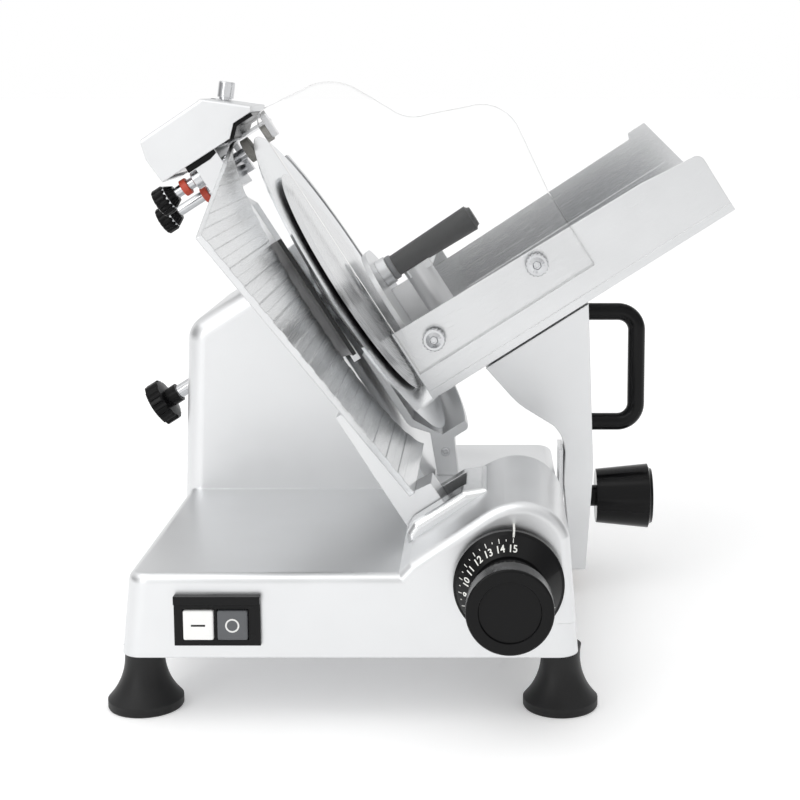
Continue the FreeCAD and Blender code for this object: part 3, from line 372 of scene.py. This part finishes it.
def cast_acrylic(name, plastic):
    """Cast acrylic sheet with flame-polished edges: water clear, with its rims painted a faint grey as
    shade.
    """
    made, tree, shader = material(name, plastic.acrylic, 0.0, 0.02, 1.42)
    shader.inputs["Transmission Weight"].default_value = 1.0
    shader.inputs["Specular IOR Level"].default_value = 0.15
    smears = noise(tree, part_space(tree, (0.03, 0.03, 0.03), True), 2.0)
    tree.links.new(spread(tree, smears, 0.0, 0.015), shader.inputs["Roughness"])
    # Painted shade: a greyer band along the rims stands in for the light that runs a long way inside the
    # sheet before it leaves at an edge.
    edge = add(tree, "ShaderNodeBevel", {"Radius": 3.4 * MM}, samples=8)
    normal = add(tree, "ShaderNodeSeparateXYZ", {"Vector": edge.outputs["Normal"]})
    flatness = add(tree, "ShaderNodeMath", {0: normal.outputs["Y"]}, operation="ABSOLUTE")
    tinted(tree, shader, spread(tree, flatness.outputs["Value"], 0.0, 1.0, 0.7, 0.99), plastic.acrylic, 0.62)
    return made


def bonded_abrasive(name):
    """Vitrified alumina wheel: pale grey-white grit that scatters light with no gloss."""
    base = linear("#c9c6bf")
    made, tree, shader = material(name, base, 0.0, 0.9, 1.6)
    grit = noise(tree, part_space(tree, (0.0006,) * 3), 5.0, 0.7)
    tinted(tree, shader, spread(tree, grit, 0.0, 1.0, 0.4, 0.6), base, 0.55)
    relief(tree, shader, grit, 0.15 * MM, 0.2 * MM)
    return made


def hammered_enamel(name):
    """Stoved hammer enamel on the motor can: dark grey with small round dimples."""
    base = linear("#3a3d41")
    made, tree, shader = material(name, base, 0.0, 0.35, 1.5)
    cells = add(tree, "ShaderNodeTexVoronoi", {"Vector": part_space(tree, (0.003,) * 3), "Scale": 1.0},
                feature="SMOOTH_F1").outputs["Distance"]
    tinted(tree, shader, spread(tree, cells, 1.0, 0.0, 0.1, 0.8), base, 0.7)
    relief(tree, shader, cells, 0.1 * MM, 0.8 * MM)
    return made


def sintered_bronze(name):
    """Pressed and oiled bronze bush: warm, dull metal with open pores."""
    base = linear("#a98752")
    made, tree, shader = material(name, base, 1.0, 0.45)
    pores = noise(tree, part_space(tree, (0.0005,) * 3), 4.0)
    tinted(tree, shader, spread(tree, pores, 0.0, 1.0), base, 0.7)
    relief(tree, shader, pores, 0.03 * MM, 0.3 * MM)
    return made


def ribbed_belt(name, plastic):
    """Rubber belt with a fabric back: matt black with a fine weave of about a millimetre."""
    made, tree, shader = material(name, plastic.rubber, 0.0, 0.75, 1.5)
    weave = add(tree, "ShaderNodeTexChecker", {"Vector": part_space(tree, (0.001,) * 3, True),
                                               "Scale": 1.0}).outputs["Fac"]
    tinted(tree, shader, weave, plastic.rubber, 0.6)
    relief(tree, shader, weave, 0.05 * MM, 0.3 * MM)
    return made


def printed_ink(name, base):
    """Pad-printed ink: flat colour with a thin, slightly uneven film."""
    made, tree, shader = material(name, base, 0.0, 0.5, 1.5)
    film = noise(tree, part_space(tree, (0.0008,) * 3), 3.0)
    tinted(tree, shader, spread(tree, film, 0.0, 1.0), base, 0.88)
    tree.links.new(spread(tree, film, 0.42, 0.6), shader.inputs["Roughness"])
    return made


def finish(made, *names):
    """Give CAD nodes their material."""
    for name in names:
        mesh = NODES[name].data
        mesh.materials.clear()
        mesh.materials.append(made)


# Shape building

def keep(name, mesh, made, body):
    """Add a mesh in the frame's own coordinates as a piece that rides on a body."""
    piece = bpy.data.objects.new(name, mesh)
    bpy.context.scene.collection.objects.link(piece)
    mesh.materials.clear()
    mesh.materials.append(made)
    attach(piece, body)
    return piece


def from_form(name, form, smooth_from=math.radians(35)):
    """Turn a bmesh into a mesh with smooth curves and crisp edges."""
    bmesh.ops.recalc_face_normals(form, faces=form.faces)
    mesh = bpy.data.meshes.new(name)
    form.to_mesh(mesh)
    form.free()
    mesh.shade_smooth()
    mesh.set_sharp_from_angle(angle=smooth_from)
    return mesh


def eased(node, made, body, slot, width, shortest=0.0, smooth_from=math.radians(35)):
    """A copy of a CAD node with its sharp edges rounded over, which stands for the node."""
    form = bmesh.new()
    form.from_mesh(NODES[node].data)
    bmesh.ops.remove_doubles(form, verts=form.verts, dist=1e-6)
    bmesh.ops.dissolve_limit(form, angle_limit=math.radians(1), verts=form.verts, edges=form.edges)
    sharp = [edge for edge in form.edges if edge.is_manifold and edge.calc_length() > shortest
             and edge.calc_face_angle(0.0) > math.radians(40)]
    bmesh.ops.bevel(form, geom=sharp, offset=width, segments=3, profile=0.5, affect="EDGES",
                    clamp_overlap=True)
    for layer in list(form.loops.layers.float_vector):
        form.loops.layers.float_vector.remove(layer)
    piece = keep(f"{node}_eased", from_form(f"{node}_eased", form, smooth_from), made, body)
    flat = piece.modifiers.new("flat_faces", "WEIGHTED_NORMAL")
    flat.keep_sharp = True
    flat.weight = 100
    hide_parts(node)
    return piece


def turned_ring(name, profile, origin, axis, made, body, steps=96, ripple=None):
    """A closed ring turned from (along, radius) points; ripple gives its outside flutes."""
    axis = axis.normalized()
    side = axis.orthogonal().normalized()
    other = axis.cross(side)
    form = bmesh.new()
    rings = []
    for step in range(steps):
        angle = math.tau * step / steps
        radial = side * math.cos(angle) + other * math.sin(angle)
        cut = ripple(angle) if ripple else 0.0
        middle = sum(radius for _, radius in profile) / len(profile)
        rings.append([form.verts.new(origin + axis * along
                                     + radial * (radius - (cut if radius > middle else 0.0)))
                      for along, radius in profile])
    count = len(profile)
    for number, ring in enumerate(rings):
        following = rings[(number + 1) % steps]
        for place in range(count):
            form.faces.new((ring[place], ring[(place + 1) % count],
                            following[(place + 1) % count], following[place]))
    return keep(name, from_form(name, form), made, body)


def plate(name, outline, matrix, thick, made, body):
    """A thin raised plate from a flat outline, standing on a surface."""
    form = bmesh.new()
    face = form.faces.new([form.verts.new((across, up, 0.0)) for across, up in outline])
    raised = bmesh.ops.extrude_face_region(form, geom=[face])
    bmesh.ops.translate(form, vec=(0.0, 0.0, thick),
                        verts=[item for item in raised["geom"] if isinstance(item, bmesh.types.BMVert)])
    bmesh.ops.transform(form, matrix=matrix, verts=form.verts)
    return keep(name, from_form(name, form), made, body)


def facing(origin, right, up):
    """A matrix whose X is right, Y is up and Z stands off the surface."""
    out = right.cross(up)
    turned = Matrix((right, up, out)).transposed().to_4x4()
    return Matrix.Translation(origin) @ turned


def lettering(name, text, height, squeeze, matrix, made, body):
    """Raised numerals, centred, of a given height."""
    curve = bpy.data.curves.new(name, "FONT")
    curve.body = text
    curve.size = height / 0.7
    curve.align_x = "CENTER"
    curve.align_y = "CENTER"
    curve.extrude = 0.04 * MM
    curve.offset = 0.02 * height
    source = bpy.data.objects.new(name, curve)
    mesh = bpy.data.meshes.new_from_object(source)
    bpy.data.objects.remove(source)
    mesh.transform(matrix @ Matrix.Diagonal((squeeze, 1.0, 1.0, 1.0)))
    return keep(name, mesh, made, body)


# Operators

class SLICER_OT_castings(bpy.types.Operator):
    """Give the body castings their buffed aluminium"""
    bl_idname = "slicer.castings"
    bl_label = "Body castings"

    def execute(self, context):
        metal = context.scene.slicer.metal
        finish(cast_aluminium("buffed_cast_aluminium", metal), "base_casting", "carriage_arm")
        leaning = cast_aluminium("buffed_cast_aluminium_ring", metal, 0.02, True)
        finish(leaning, "blade_ring_guard", "sharpener_bracket", "bearing_housing", "gauge_bracket",
               "sharpener_frame")
        collar = cast_aluminium("polished_cast_aluminium", metal, -0.16, True)
        finish(collar, "gauge_fairing")
        finish(drawn_steel("galvanised_sheet", metal.bright, 0.42, 6.0), "bottom_cover")
        zinc = drawn_steel("zinc_plated_screws", metal.bright, 0.3)
        finish(zinc, "foot_screws")
        head = in_metres([(0.0, 1.3), (0.0, 2.6), (-0.5, 3.1), (-2.6, 3.1), (-3.0, 2.6), (-3.0, 1.5),
                          (-1.4, 1.3)])
        turned_ring("pillar_screw", head, UPRIGHT @ (Vector(PILLAR_SCREW) * MM), ALONG_Y, zinc,
                    "root", 36)
        return {"FINISHED"}


class SLICER_OT_feet(bpy.types.Operator):
    """Give the feet their moulded rubber"""
    bl_idname = "slicer.feet"
    bl_label = "Feet and gland"

    def execute(self, context):
        plastic = context.scene.slicer.plastic
        finish(moulded_rubber("moulded_foot_rubber", plastic), "foot_front_left", "foot_front_right",
               "foot_rear_left", "foot_rear_right")
        finish(moulded("moulded_nylon_gland", plastic.bezel, 0.42), "cable_gland")
        return {"FINISHED"}


class SLICER_OT_blade(bpy.types.Operator):
    """Finish the knife, its cover and everything on its shaft"""
    bl_idname = "slicer.blade"
    bl_label = "Blade and cover"

    def execute(self, context):
        metal = context.scene.slicer.metal
        knife = turned_steel("ground_chromed_blade_steel", metal.steel, metal.steel_roughness, 0.7)
        finish(knife, "blade", "blade_hub")
        finish(turned_steel("spun_aluminium_cover", metal.sheet, 0.26, 1.0), "blade_cover")
        finish(turned_steel("turned_shaft_steel", metal.bright, 0.22, 0.4), "blade_shaft", "tie_rod",
               "blade_pulley")
        finish(turned_steel("ground_bearing_steel", metal.bright, 0.12, 0.5), "shaft_bearings")
        finish(moulded("moulded_black_deflector", context.scene.slicer.plastic.bezel, 0.33),
               "slice_deflector")
        return {"FINISHED"}


class SLICER_OT_drive(bpy.types.Operator):
    """Finish the motor, the belt and the parts inside the base"""
    bl_idname = "slicer.drive"
    bl_label = "Drive and inner works"

    def execute(self, context):
        settings = context.scene.slicer
        finish(hammered_enamel("stoved_hammer_enamel"), "motor_body")
        finish(drawn_steel("machined_steel", settings.metal.dark, 0.3), "motor_shaft", "motor_pulley",
               "cam_disc", "dial_shaft", "follower_pin", "gauge_guide")
        finish(ribbed_belt("woven_back_belt_rubber", settings.plastic), "drive_belt")
        finish(moulded("moulded_capacitor_can", linear("#d9d9d4"), 0.4), "capacitor")
        finish(moulded("moulded_switch_case", settings.plastic.bezel, 0.45), "switch_body")
        finish(sintered_bronze("sintered_bronze"), "dial_bushing")
        return {"FINISHED"}


class SLICER_OT_gauge(bpy.types.Operator):
    """Finish the ribbed gauge plate"""
    bl_idname = "slicer.gauge"
    bl_label = "Gauge plate"

    def execute(self, context):
        metal = context.scene.slicer.metal
        finish(brushed_aluminium("brushed_gauge_aluminium", metal, 1, eased=1.4 * MM), "gauge_plate")
        return {"FINISHED"}


class SLICER_OT_switches(bpy.types.Operator):
    """Add the eased switch frame and buttons with their marks"""
    bl_idname = "slicer.switches"
    bl_label = "Switches"

    def execute(self, context):
        plastic = context.scene.slicer.plastic
        frame_black = moulded("moulded_switch_frame", plastic.bezel, 0.22, shine=0.15)
        eased("switch_bezel", frame_black, "root", "black_plastic", 0.6 * MM)
        caps = (("start_button", "start_push", "white_plastic", plastic.start, "#101010"),
                ("stop_button", "stop_push", "stop_plastic", plastic.stop, "#e8e8e6"))
        for node, body, slot, base, mark_code in caps:
            eased(node, moulded(f"moulded_{node}", base, 0.3), body, slot, 1.1 * MM)
            low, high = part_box(node)
            centre = Vector(((low.x + high.x) / 2, low.y + 0.02 * MM, (low.z + high.z) / 2))
            face = facing(centre, Vector((1, 0, 0)), Vector((0, 0, 1)))
            ink = printed_ink(f"printed_{node}_mark", linear(mark_code))
            if node == "start_button":
                half, thick = 4.2 * MM, 0.6 * MM
                bar = [(-half, -thick), (half, -thick), (half, thick), (-half, thick)]
                plate("start_mark", bar, face, 0.05 * MM, ink, body)
            else:
                ring = in_metres([(0.0, 3.2), (0.0, 4.2), (0.07, 4.2), (0.07, 3.2)])
                turned_ring("stop_mark", ring, centre, Vector((0, -1, 0)), ink, body, 48)
        return {"FINISHED"}


class SLICER_OT_dial(bpy.types.Operator):
    """Finish the thickness dial and print its numerals and ticks"""
    bl_idname = "slicer.dial"
    bl_label = "Thickness dial"

    def execute(self, context):
        settings = context.scene.slicer
        plastic, dial = settings.plastic, settings.dial
        gloss = moulded("polished_phenolic_moulding", plastic.black, plastic.gloss, 2.0, 0.002, 1.6,
                        0.12)
        finish(gloss, "thickness_knob", "dial_plate")
        ink = printed_ink("printed_dial_white", plastic.print_white)
        # The printing lies on the dial's cone, which runs from its rim to the knob's neck.
        rim, neck = Vector((31.0 * MM, -11.0 * MM)), Vector((22.0 * MM, -24.0 * MM))
        slope = (rim - neck).normalized()
        for mark in range(2 * dial.highest + 1):
            thickness = mark / 2
            turn = dial.first - (dial.highest - thickness) * dial.step
            radial = Vector((math.sin(turn), 0.0, math.cos(turn)))
            right = Vector((math.cos(turn), 0.0, -math.sin(turn)))
            up = radial * slope.x + ALONG_Y * slope.y

            def on_cone(radius):
                share = (radius - neck.x) / (rim.x - neck.x)
                depth = neck.y + (rim.y - neck.y) * share
                place = DIAL_CENTRE + radial * radius + ALONG_Y * depth
                return facing(place + right.cross(up) * (0.03 * MM), right, up)

            whole = mark % 2 == 0
            if whole:
                lettering(f"dial_numeral_{mark // 2}", str(mark // 2), dial.numeral_height, 0.72,
                          on_cone(dial.numeral_radius), ink, "dial")
            tall, wide = (1.7 * MM, 0.22 * MM) if whole else (0.7 * MM, 0.2 * MM)
            tick = [(-wide, -tall), (wide, -tall), (wide, tall), (-wide, tall)]
            plate(f"dial_tick_{mark}", tick, on_cone(dial.tick_radius), 0.05 * MM, ink, "dial")
        self.pointer(dial, ink)
        return {"FINISHED"}

    def pointer(self, dial, ink):
        """A small bent pointer over the rim, fixed to the front wall."""
        turn = dial.first
        radial = Vector((math.sin(turn), 0.0, math.cos(turn)))
        right = Vector((math.cos(turn), 0.0, -math.sin(turn)))
        form = bmesh.new()
        points = [DIAL_CENTRE + radial * (radius * MM) + ALONG_Y * (depth * MM)
                  for radius, depth in POINTER_PATH]
        half = POINTER_HALF_WIDTH * MM
        sides = [[form.verts.new(point + right * (half * side)) for point in points]
                 for side in (-1, 1)]
        form.faces.new(sides[0])
        form.faces.new(list(reversed(sides[1])))
        for place in range(len(points)):
            after = (place + 1) % len(points)
            form.faces.new((sides[0][place], sides[0][after], sides[1][after], sides[1][place]))
        keep("dial_pointer", from_form("dial_pointer", form), ink, "root")


class SLICER_OT_carriage(bpy.types.Operator):
    """Finish the carriage: tray, arm fittings, handle, clear guard and rod"""
    bl_idname = "slicer.carriage"
    bl_label = "Carriage"

    def execute(self, context):
        settings = context.scene.slicer
        metal, plastic = settings.metal, settings.plastic
        finish(brushed_aluminium("brushed_tray_aluminium", metal, 0), "food_tray", "arm_strip")
        finish(drawn_steel("drawn_stainless_rod", metal.bright, 0.18), "pusher_rod",
               "carriage_guide_rod")
        finish(sintered_bronze("sintered_bronze_slide"), "carriage_slide_block")
        gloss = moulded("polished_phenolic_grip", plastic.black, plastic.gloss, 2.0, 0.002, 1.6, 0.12)
        finish(gloss, "carriage_handle", "carriage_knob")
        nickel = drawn_steel("nickel_plated_clamps", metal.bright, 0.14)
        finish(nickel, "guard_clamps")
        knurl = in_metres([(0.0, 3.2), (0.5, 6.4), (0.9, 8.1), (1.6, 8.6), (5.6, 8.6), (6.2, 8.0),
                           (6.2, 3.2)])
        socket = in_metres([(-0.5, 1.6), (-0.5, 2.6), (0.4, 3.4), (0.4, 1.6)])
        for name, across, up in CLAMPS:
            spot = on_blade((across, CLAMP_FRONT, up))
            turned_ring(f"guard_clamp_{name}_knurl", knurl, spot, ALONG_Y, nickel, "carriage",
                        144,
                        lambda angle: 0.45 * MM * (1.0 + math.cos(18 * angle)))
            turned_ring(f"guard_clamp_{name}_socket", socket, spot, ALONG_Y, nickel, "carriage",
                        6)
        eased("hand_guard", cast_acrylic("cast_acrylic_sheet", plastic), "carriage", "clear_acrylic",
              0.9 * MM, 1.2 * MM, math.radians(12))
        return {"FINISHED"}


class SLICER_OT_pusher(bpy.types.Operator):
    """Finish the meat pusher and add its grip collar"""
    bl_idname = "slicer.pusher"
    bl_label = "Meat pusher"

    def execute(self, context):
        settings = context.scene.slicer
        metal, plastic = settings.metal, settings.plastic
        finish(cast_aluminium("tumbled_cast_aluminium", metal, 0.04, True), "pusher_arm",
               "pusher_plate")
        finish(drawn_steel("turned_stainless_sleeve", metal.bright, 0.2), "pusher_sleeve")
        finish(moulded("moulded_satin_grip", plastic.grip, 0.4, 4.0, 0.002, shine=0.25),
               "pusher_handle")
        rim = in_metres([(0.0, 8.0), (0.0, 9.4), (0.6, 9.9), (3.6, 9.9), (4.2, 9.4), (4.2, 8.0)])
        grey = moulded("moulded_grip_collar", linear("#77797c"), 0.35)
        turned_ring("pusher_grip_collar", rim, on_blade(GRIP_FOOT), ACROSS, grey, "pusher")
        return {"FINISHED"}


class SLICER_OT_sharpener(bpy.types.Operator):
    """Finish the sharpener and add its fluted rims, sleeves and stop collars"""
    bl_idname = "slicer.sharpener"
    bl_label = "Sharpener"

    def execute(self, context):
        settings = context.scene.slicer
        metal, plastic, sizes = settings.metal, settings.plastic, settings.sharpener
        finish(cast_aluminium("buffed_cast_aluminium_cap", metal, 0.04, True), "sharpener_cover")
        finish(drawn_steel("nickel_plated_screw", metal.bright, 0.16), "thumb_screw")
        finish(bonded_abrasive("vitrified_alumina"), "grinding_stone", "honing_stone")
        black = moulded("moulded_black_knobs", plastic.black, 0.24, shine=0.12)
        finish(black, "tie_knob")
        steel = drawn_steel("ground_stem_steel", metal.bright, 0.2)
        orange = moulded("moulded_orange_collar", plastic.collar, 0.4)
        sleeve = drawn_steel("turned_aluminium_sleeve", metal.bright, 0.22)
        finish(steel, "grinding_pusher", "honing_pusher")
        inner = STEM_BORE * MM
        for name, body, start, row, height in STEMS:
            rim, wide = sizes.rim_radius, sizes.rim_width
            profile = [(0.0, 1.0 * MM), (-0.3 * MM, 7.5 * MM), (0.4 * MM, rim - 0.6 * MM),
                       (1.2 * MM, rim), (wide, rim), (wide + 1.0 * MM, rim - 0.8 * MM),
                       (15.2 * MM, 6.0 * MM), (15.3 * MM, 4.1 * MM)]
            turned_ring(f"{name}_knob_cap", profile, on_blade((start, row, height)), ACROSS, black,
                        body, 168,
                        lambda angle: 0.9 * MM * (0.5 + 0.5 * math.cos(sizes.flutes * angle)) ** 3)
            outer, end, edge = sizes.collar_radius, COLLAR_LENGTH * MM, 0.4 * MM
            collar = [(0.0, inner), (0.0, outer - edge), (edge, outer), (end - edge, outer),
                      (end, outer - edge), (end, inner)]
            turned_ring(f"{name}_stop_collar", collar, on_blade((COLLAR_START, row, height)), ACROSS,
                        orange, body)
            outer, end, edge = sizes.sleeve_radius, SLEEVE_LENGTH * MM, 0.5 * MM
            tube = [(0.0, inner + 0.05 * MM), (0.0, outer - edge), (edge, outer), (end, outer),
                    (end, inner + 0.05 * MM)]
            turned_ring(f"{name}_sleeve", tube, on_blade((SLEEVE_START, row, height)), ACROSS, sleeve,
                        "sharpener")
        self.cap_shade_and_set_screw(black)
        return {"FINISHED"}

    def cap_shade_and_set_screw(self, black):
        """Painted shade as a black strip and block in the gap under the cap, and the small set screw beside
        its thumb screw.
        """
        # The strip and block are black mouldings that stand in for the shadow under the cap.
        self.bar("cap_shade_strip", CAP_SHADE_STRIP, CAP_SHADE_STRIP_ROWS, black)
        self.bar("cap_shade_block", CAP_SHADE_BLOCK, CAP_SHADE_BLOCK_ROWS, black)
        out = ACROSS * math.sin(CAP_SLOPE) + UP_BLADE * math.cos(CAP_SLOPE)
        screw = in_metres([(0.0, 0.5), (0.25, 0.6), (0.3, 1.5), (0.0, 1.9)])
        turned_ring("cap_set_screw", screw, on_blade(SET_SCREW), out, black, "sharpener",
                    32)

    def bar(self, name, outline, rows, made):
        """A straight bar along Y from an outline across and up the blade."""
        form = bmesh.new()
        ends = [[form.verts.new(on_blade((across, row, up))) for across, up in outline]
                for row in rows]
        form.faces.new(ends[0])
        form.faces.new(list(reversed(ends[1])))
        for place in range(len(outline)):
            after = (place + 1) % len(outline)
            form.faces.new((ends[0][place], ends[0][after], ends[1][after], ends[1][place]))
        keep(name, from_form(name, form), made, "sharpener")


class SLICER_OT_stage(bpy.types.Operator):
    """Lay the pale floor and set the soft light and the camera"""
    bl_idname = "slicer.stage"
    bl_label = "Stage, light and camera"

    def execute(self, context):
        scene, studio = context.scene, context.scene.slicer.studio
        self.lay_floor(scene, studio)
        self.light(scene, studio)
        camera = bpy.data.objects.new("stage_camera", bpy.data.cameras.new("stage_camera"))
        scene.collection.objects.link(camera)
        camera.data.lens = studio.lens
        camera.data.shift_x, camera.data.shift_y = studio.slide, studio.rise
        camera.location = studio.camera_place
        camera.rotation_euler = (math.pi / 2 + studio.pitch, 0.0, -studio.heading)
        scene.camera = camera
        scene.view_settings.view_transform = "Standard"
        return {"FINISHED"}

    def lay_floor(self, scene, studio):
        """A wide pale floor just under the feet."""
        form = bmesh.new()
        bmesh.ops.create_grid(form, x_segments=1, y_segments=1, size=40.0)
        mesh = bpy.data.meshes.new("stage_floor")
        form.to_mesh(mesh)
        form.free()
        floor = bpy.data.objects.new("stage_floor", mesh)
        floor.location.z = CAD_BOX[0][2] - 0.1 * MM
        scene.collection.objects.link(floor)
        paint, _, shader = material("painted_floor", studio.floor, 0.0, 0.7)
        shader.inputs["Emission Color"].default_value = (1.0, 1.0, 1.0, 1.0)
        shader.inputs["Emission Strength"].default_value = studio.floor_glow
        mesh.materials.append(paint)

    def light(self, scene, studio):
        """Pale surroundings with darker panels, a large softbox overhead and a narrow one beside."""
        world = bpy.data.worlds.new("studio")
        world.use_nodes = True
        scene.world = world
        tree = world.node_tree
        background = next(node for node in tree.nodes if node.type == "BACKGROUND")
        way = add(tree, "ShaderNodeTexCoord").outputs["Generated"]
        shade = 0.0
        for panel, reach, depth in STUDIO_PANELS:
            toward = add(tree, "ShaderNodeVectorMath", {0: way, 1: Vector(panel).normalized()},
                         operation="DOT_PRODUCT").outputs["Value"]
            own = spread(tree, toward, 0.0, depth, math.cos(math.radians(reach)), 1.0)
            darkest = add(tree, "ShaderNodeMath", {0: own, 1: shade}, operation="MAXIMUM")
            shade = darkest.outputs["Value"]
        mix = add(tree, "ShaderNodeMix", {"Factor": shade}, data_type="RGBA")
        mix.inputs[6].default_value = (1.0, 1.0, 1.0, 1.0)
        mix.inputs[7].default_value = (0.12, 0.12, 0.125, 1.0)
        tree.links.new(mix.outputs[2], background.inputs["Color"])
        background.inputs["Strength"].default_value = studio.sky
        lamps = (("top_softbox", (-0.7, -0.5, 1.5), (1.6, 1.2), studio.softbox),
                 ("strip_softbox", (-0.9, -1.2, 0.7), (0.12, 0.9), studio.strip))
        for name, place, size, power in lamps:
            lamp = bpy.data.lights.new(name, "AREA")
            lamp.shape = "RECTANGLE"
            lamp.size, lamp.size_y = size
            lamp.energy = power
            softbox = bpy.data.objects.new(name, lamp)
            softbox.location = place
            toward_part = Vector((0, 0, 0.2)) - softbox.location
            softbox.rotation_euler = toward_part.to_track_quat("-Z", "Y").to_euler()
            scene.collection.objects.link(softbox)


OPERATORS = (SLICER_OT_castings, SLICER_OT_feet, SLICER_OT_blade, SLICER_OT_drive, SLICER_OT_gauge,
             SLICER_OT_switches, SLICER_OT_dial, SLICER_OT_carriage, SLICER_OT_pusher,
             SLICER_OT_sharpener, SLICER_OT_stage)


class SLICER_PT_panel(bpy.types.Panel):
    """Sidebar list of the slicer's pieces"""
    bl_label = "Deli meat slicer"
    bl_idname = "SLICER_PT_panel"
    bl_space_type = "VIEW_3D"
    bl_region_type = "UI"
    bl_category = "Slicer"

    def draw(self, context):
        for operator in OPERATORS:
            self.layout.operator(operator.bl_idname)
        settings = context.scene.slicer
        for group in (settings.metal, settings.plastic, settings.dial, settings.sharpener,
                      settings.studio):
            box = self.layout.box()
            for name in group.bl_rna.properties.keys():
                if name not in ("rna_type", "name"):
                    box.prop(group, name)


CLASSES = (MetalFinish, PlasticFinish, DialPrint, SharpenerSizes, StudioLook, SlicerSettings,
           *OPERATORS, SLICER_PT_panel)


def register():
    """Register every class and hang the settings on the scene."""
    for item in CLASSES:
        bpy.utils.register_class(item)
    bpy.types.Scene.slicer = PointerProperty(name="Slicer", description="Slicer settings",
                                             type=SlicerSettings)


def unregister():
    """Take everything off again."""
    del bpy.types.Scene.slicer
    for item in reversed(CLASSES):
        bpy.utils.unregister_class(item)


def main():
    """Register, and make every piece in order."""
    register()
    for operator in OPERATORS:
        group, name = operator.bl_idname.split(".")
        getattr(getattr(bpy.ops, group), name)()


if __name__ == "__main__":
    main()
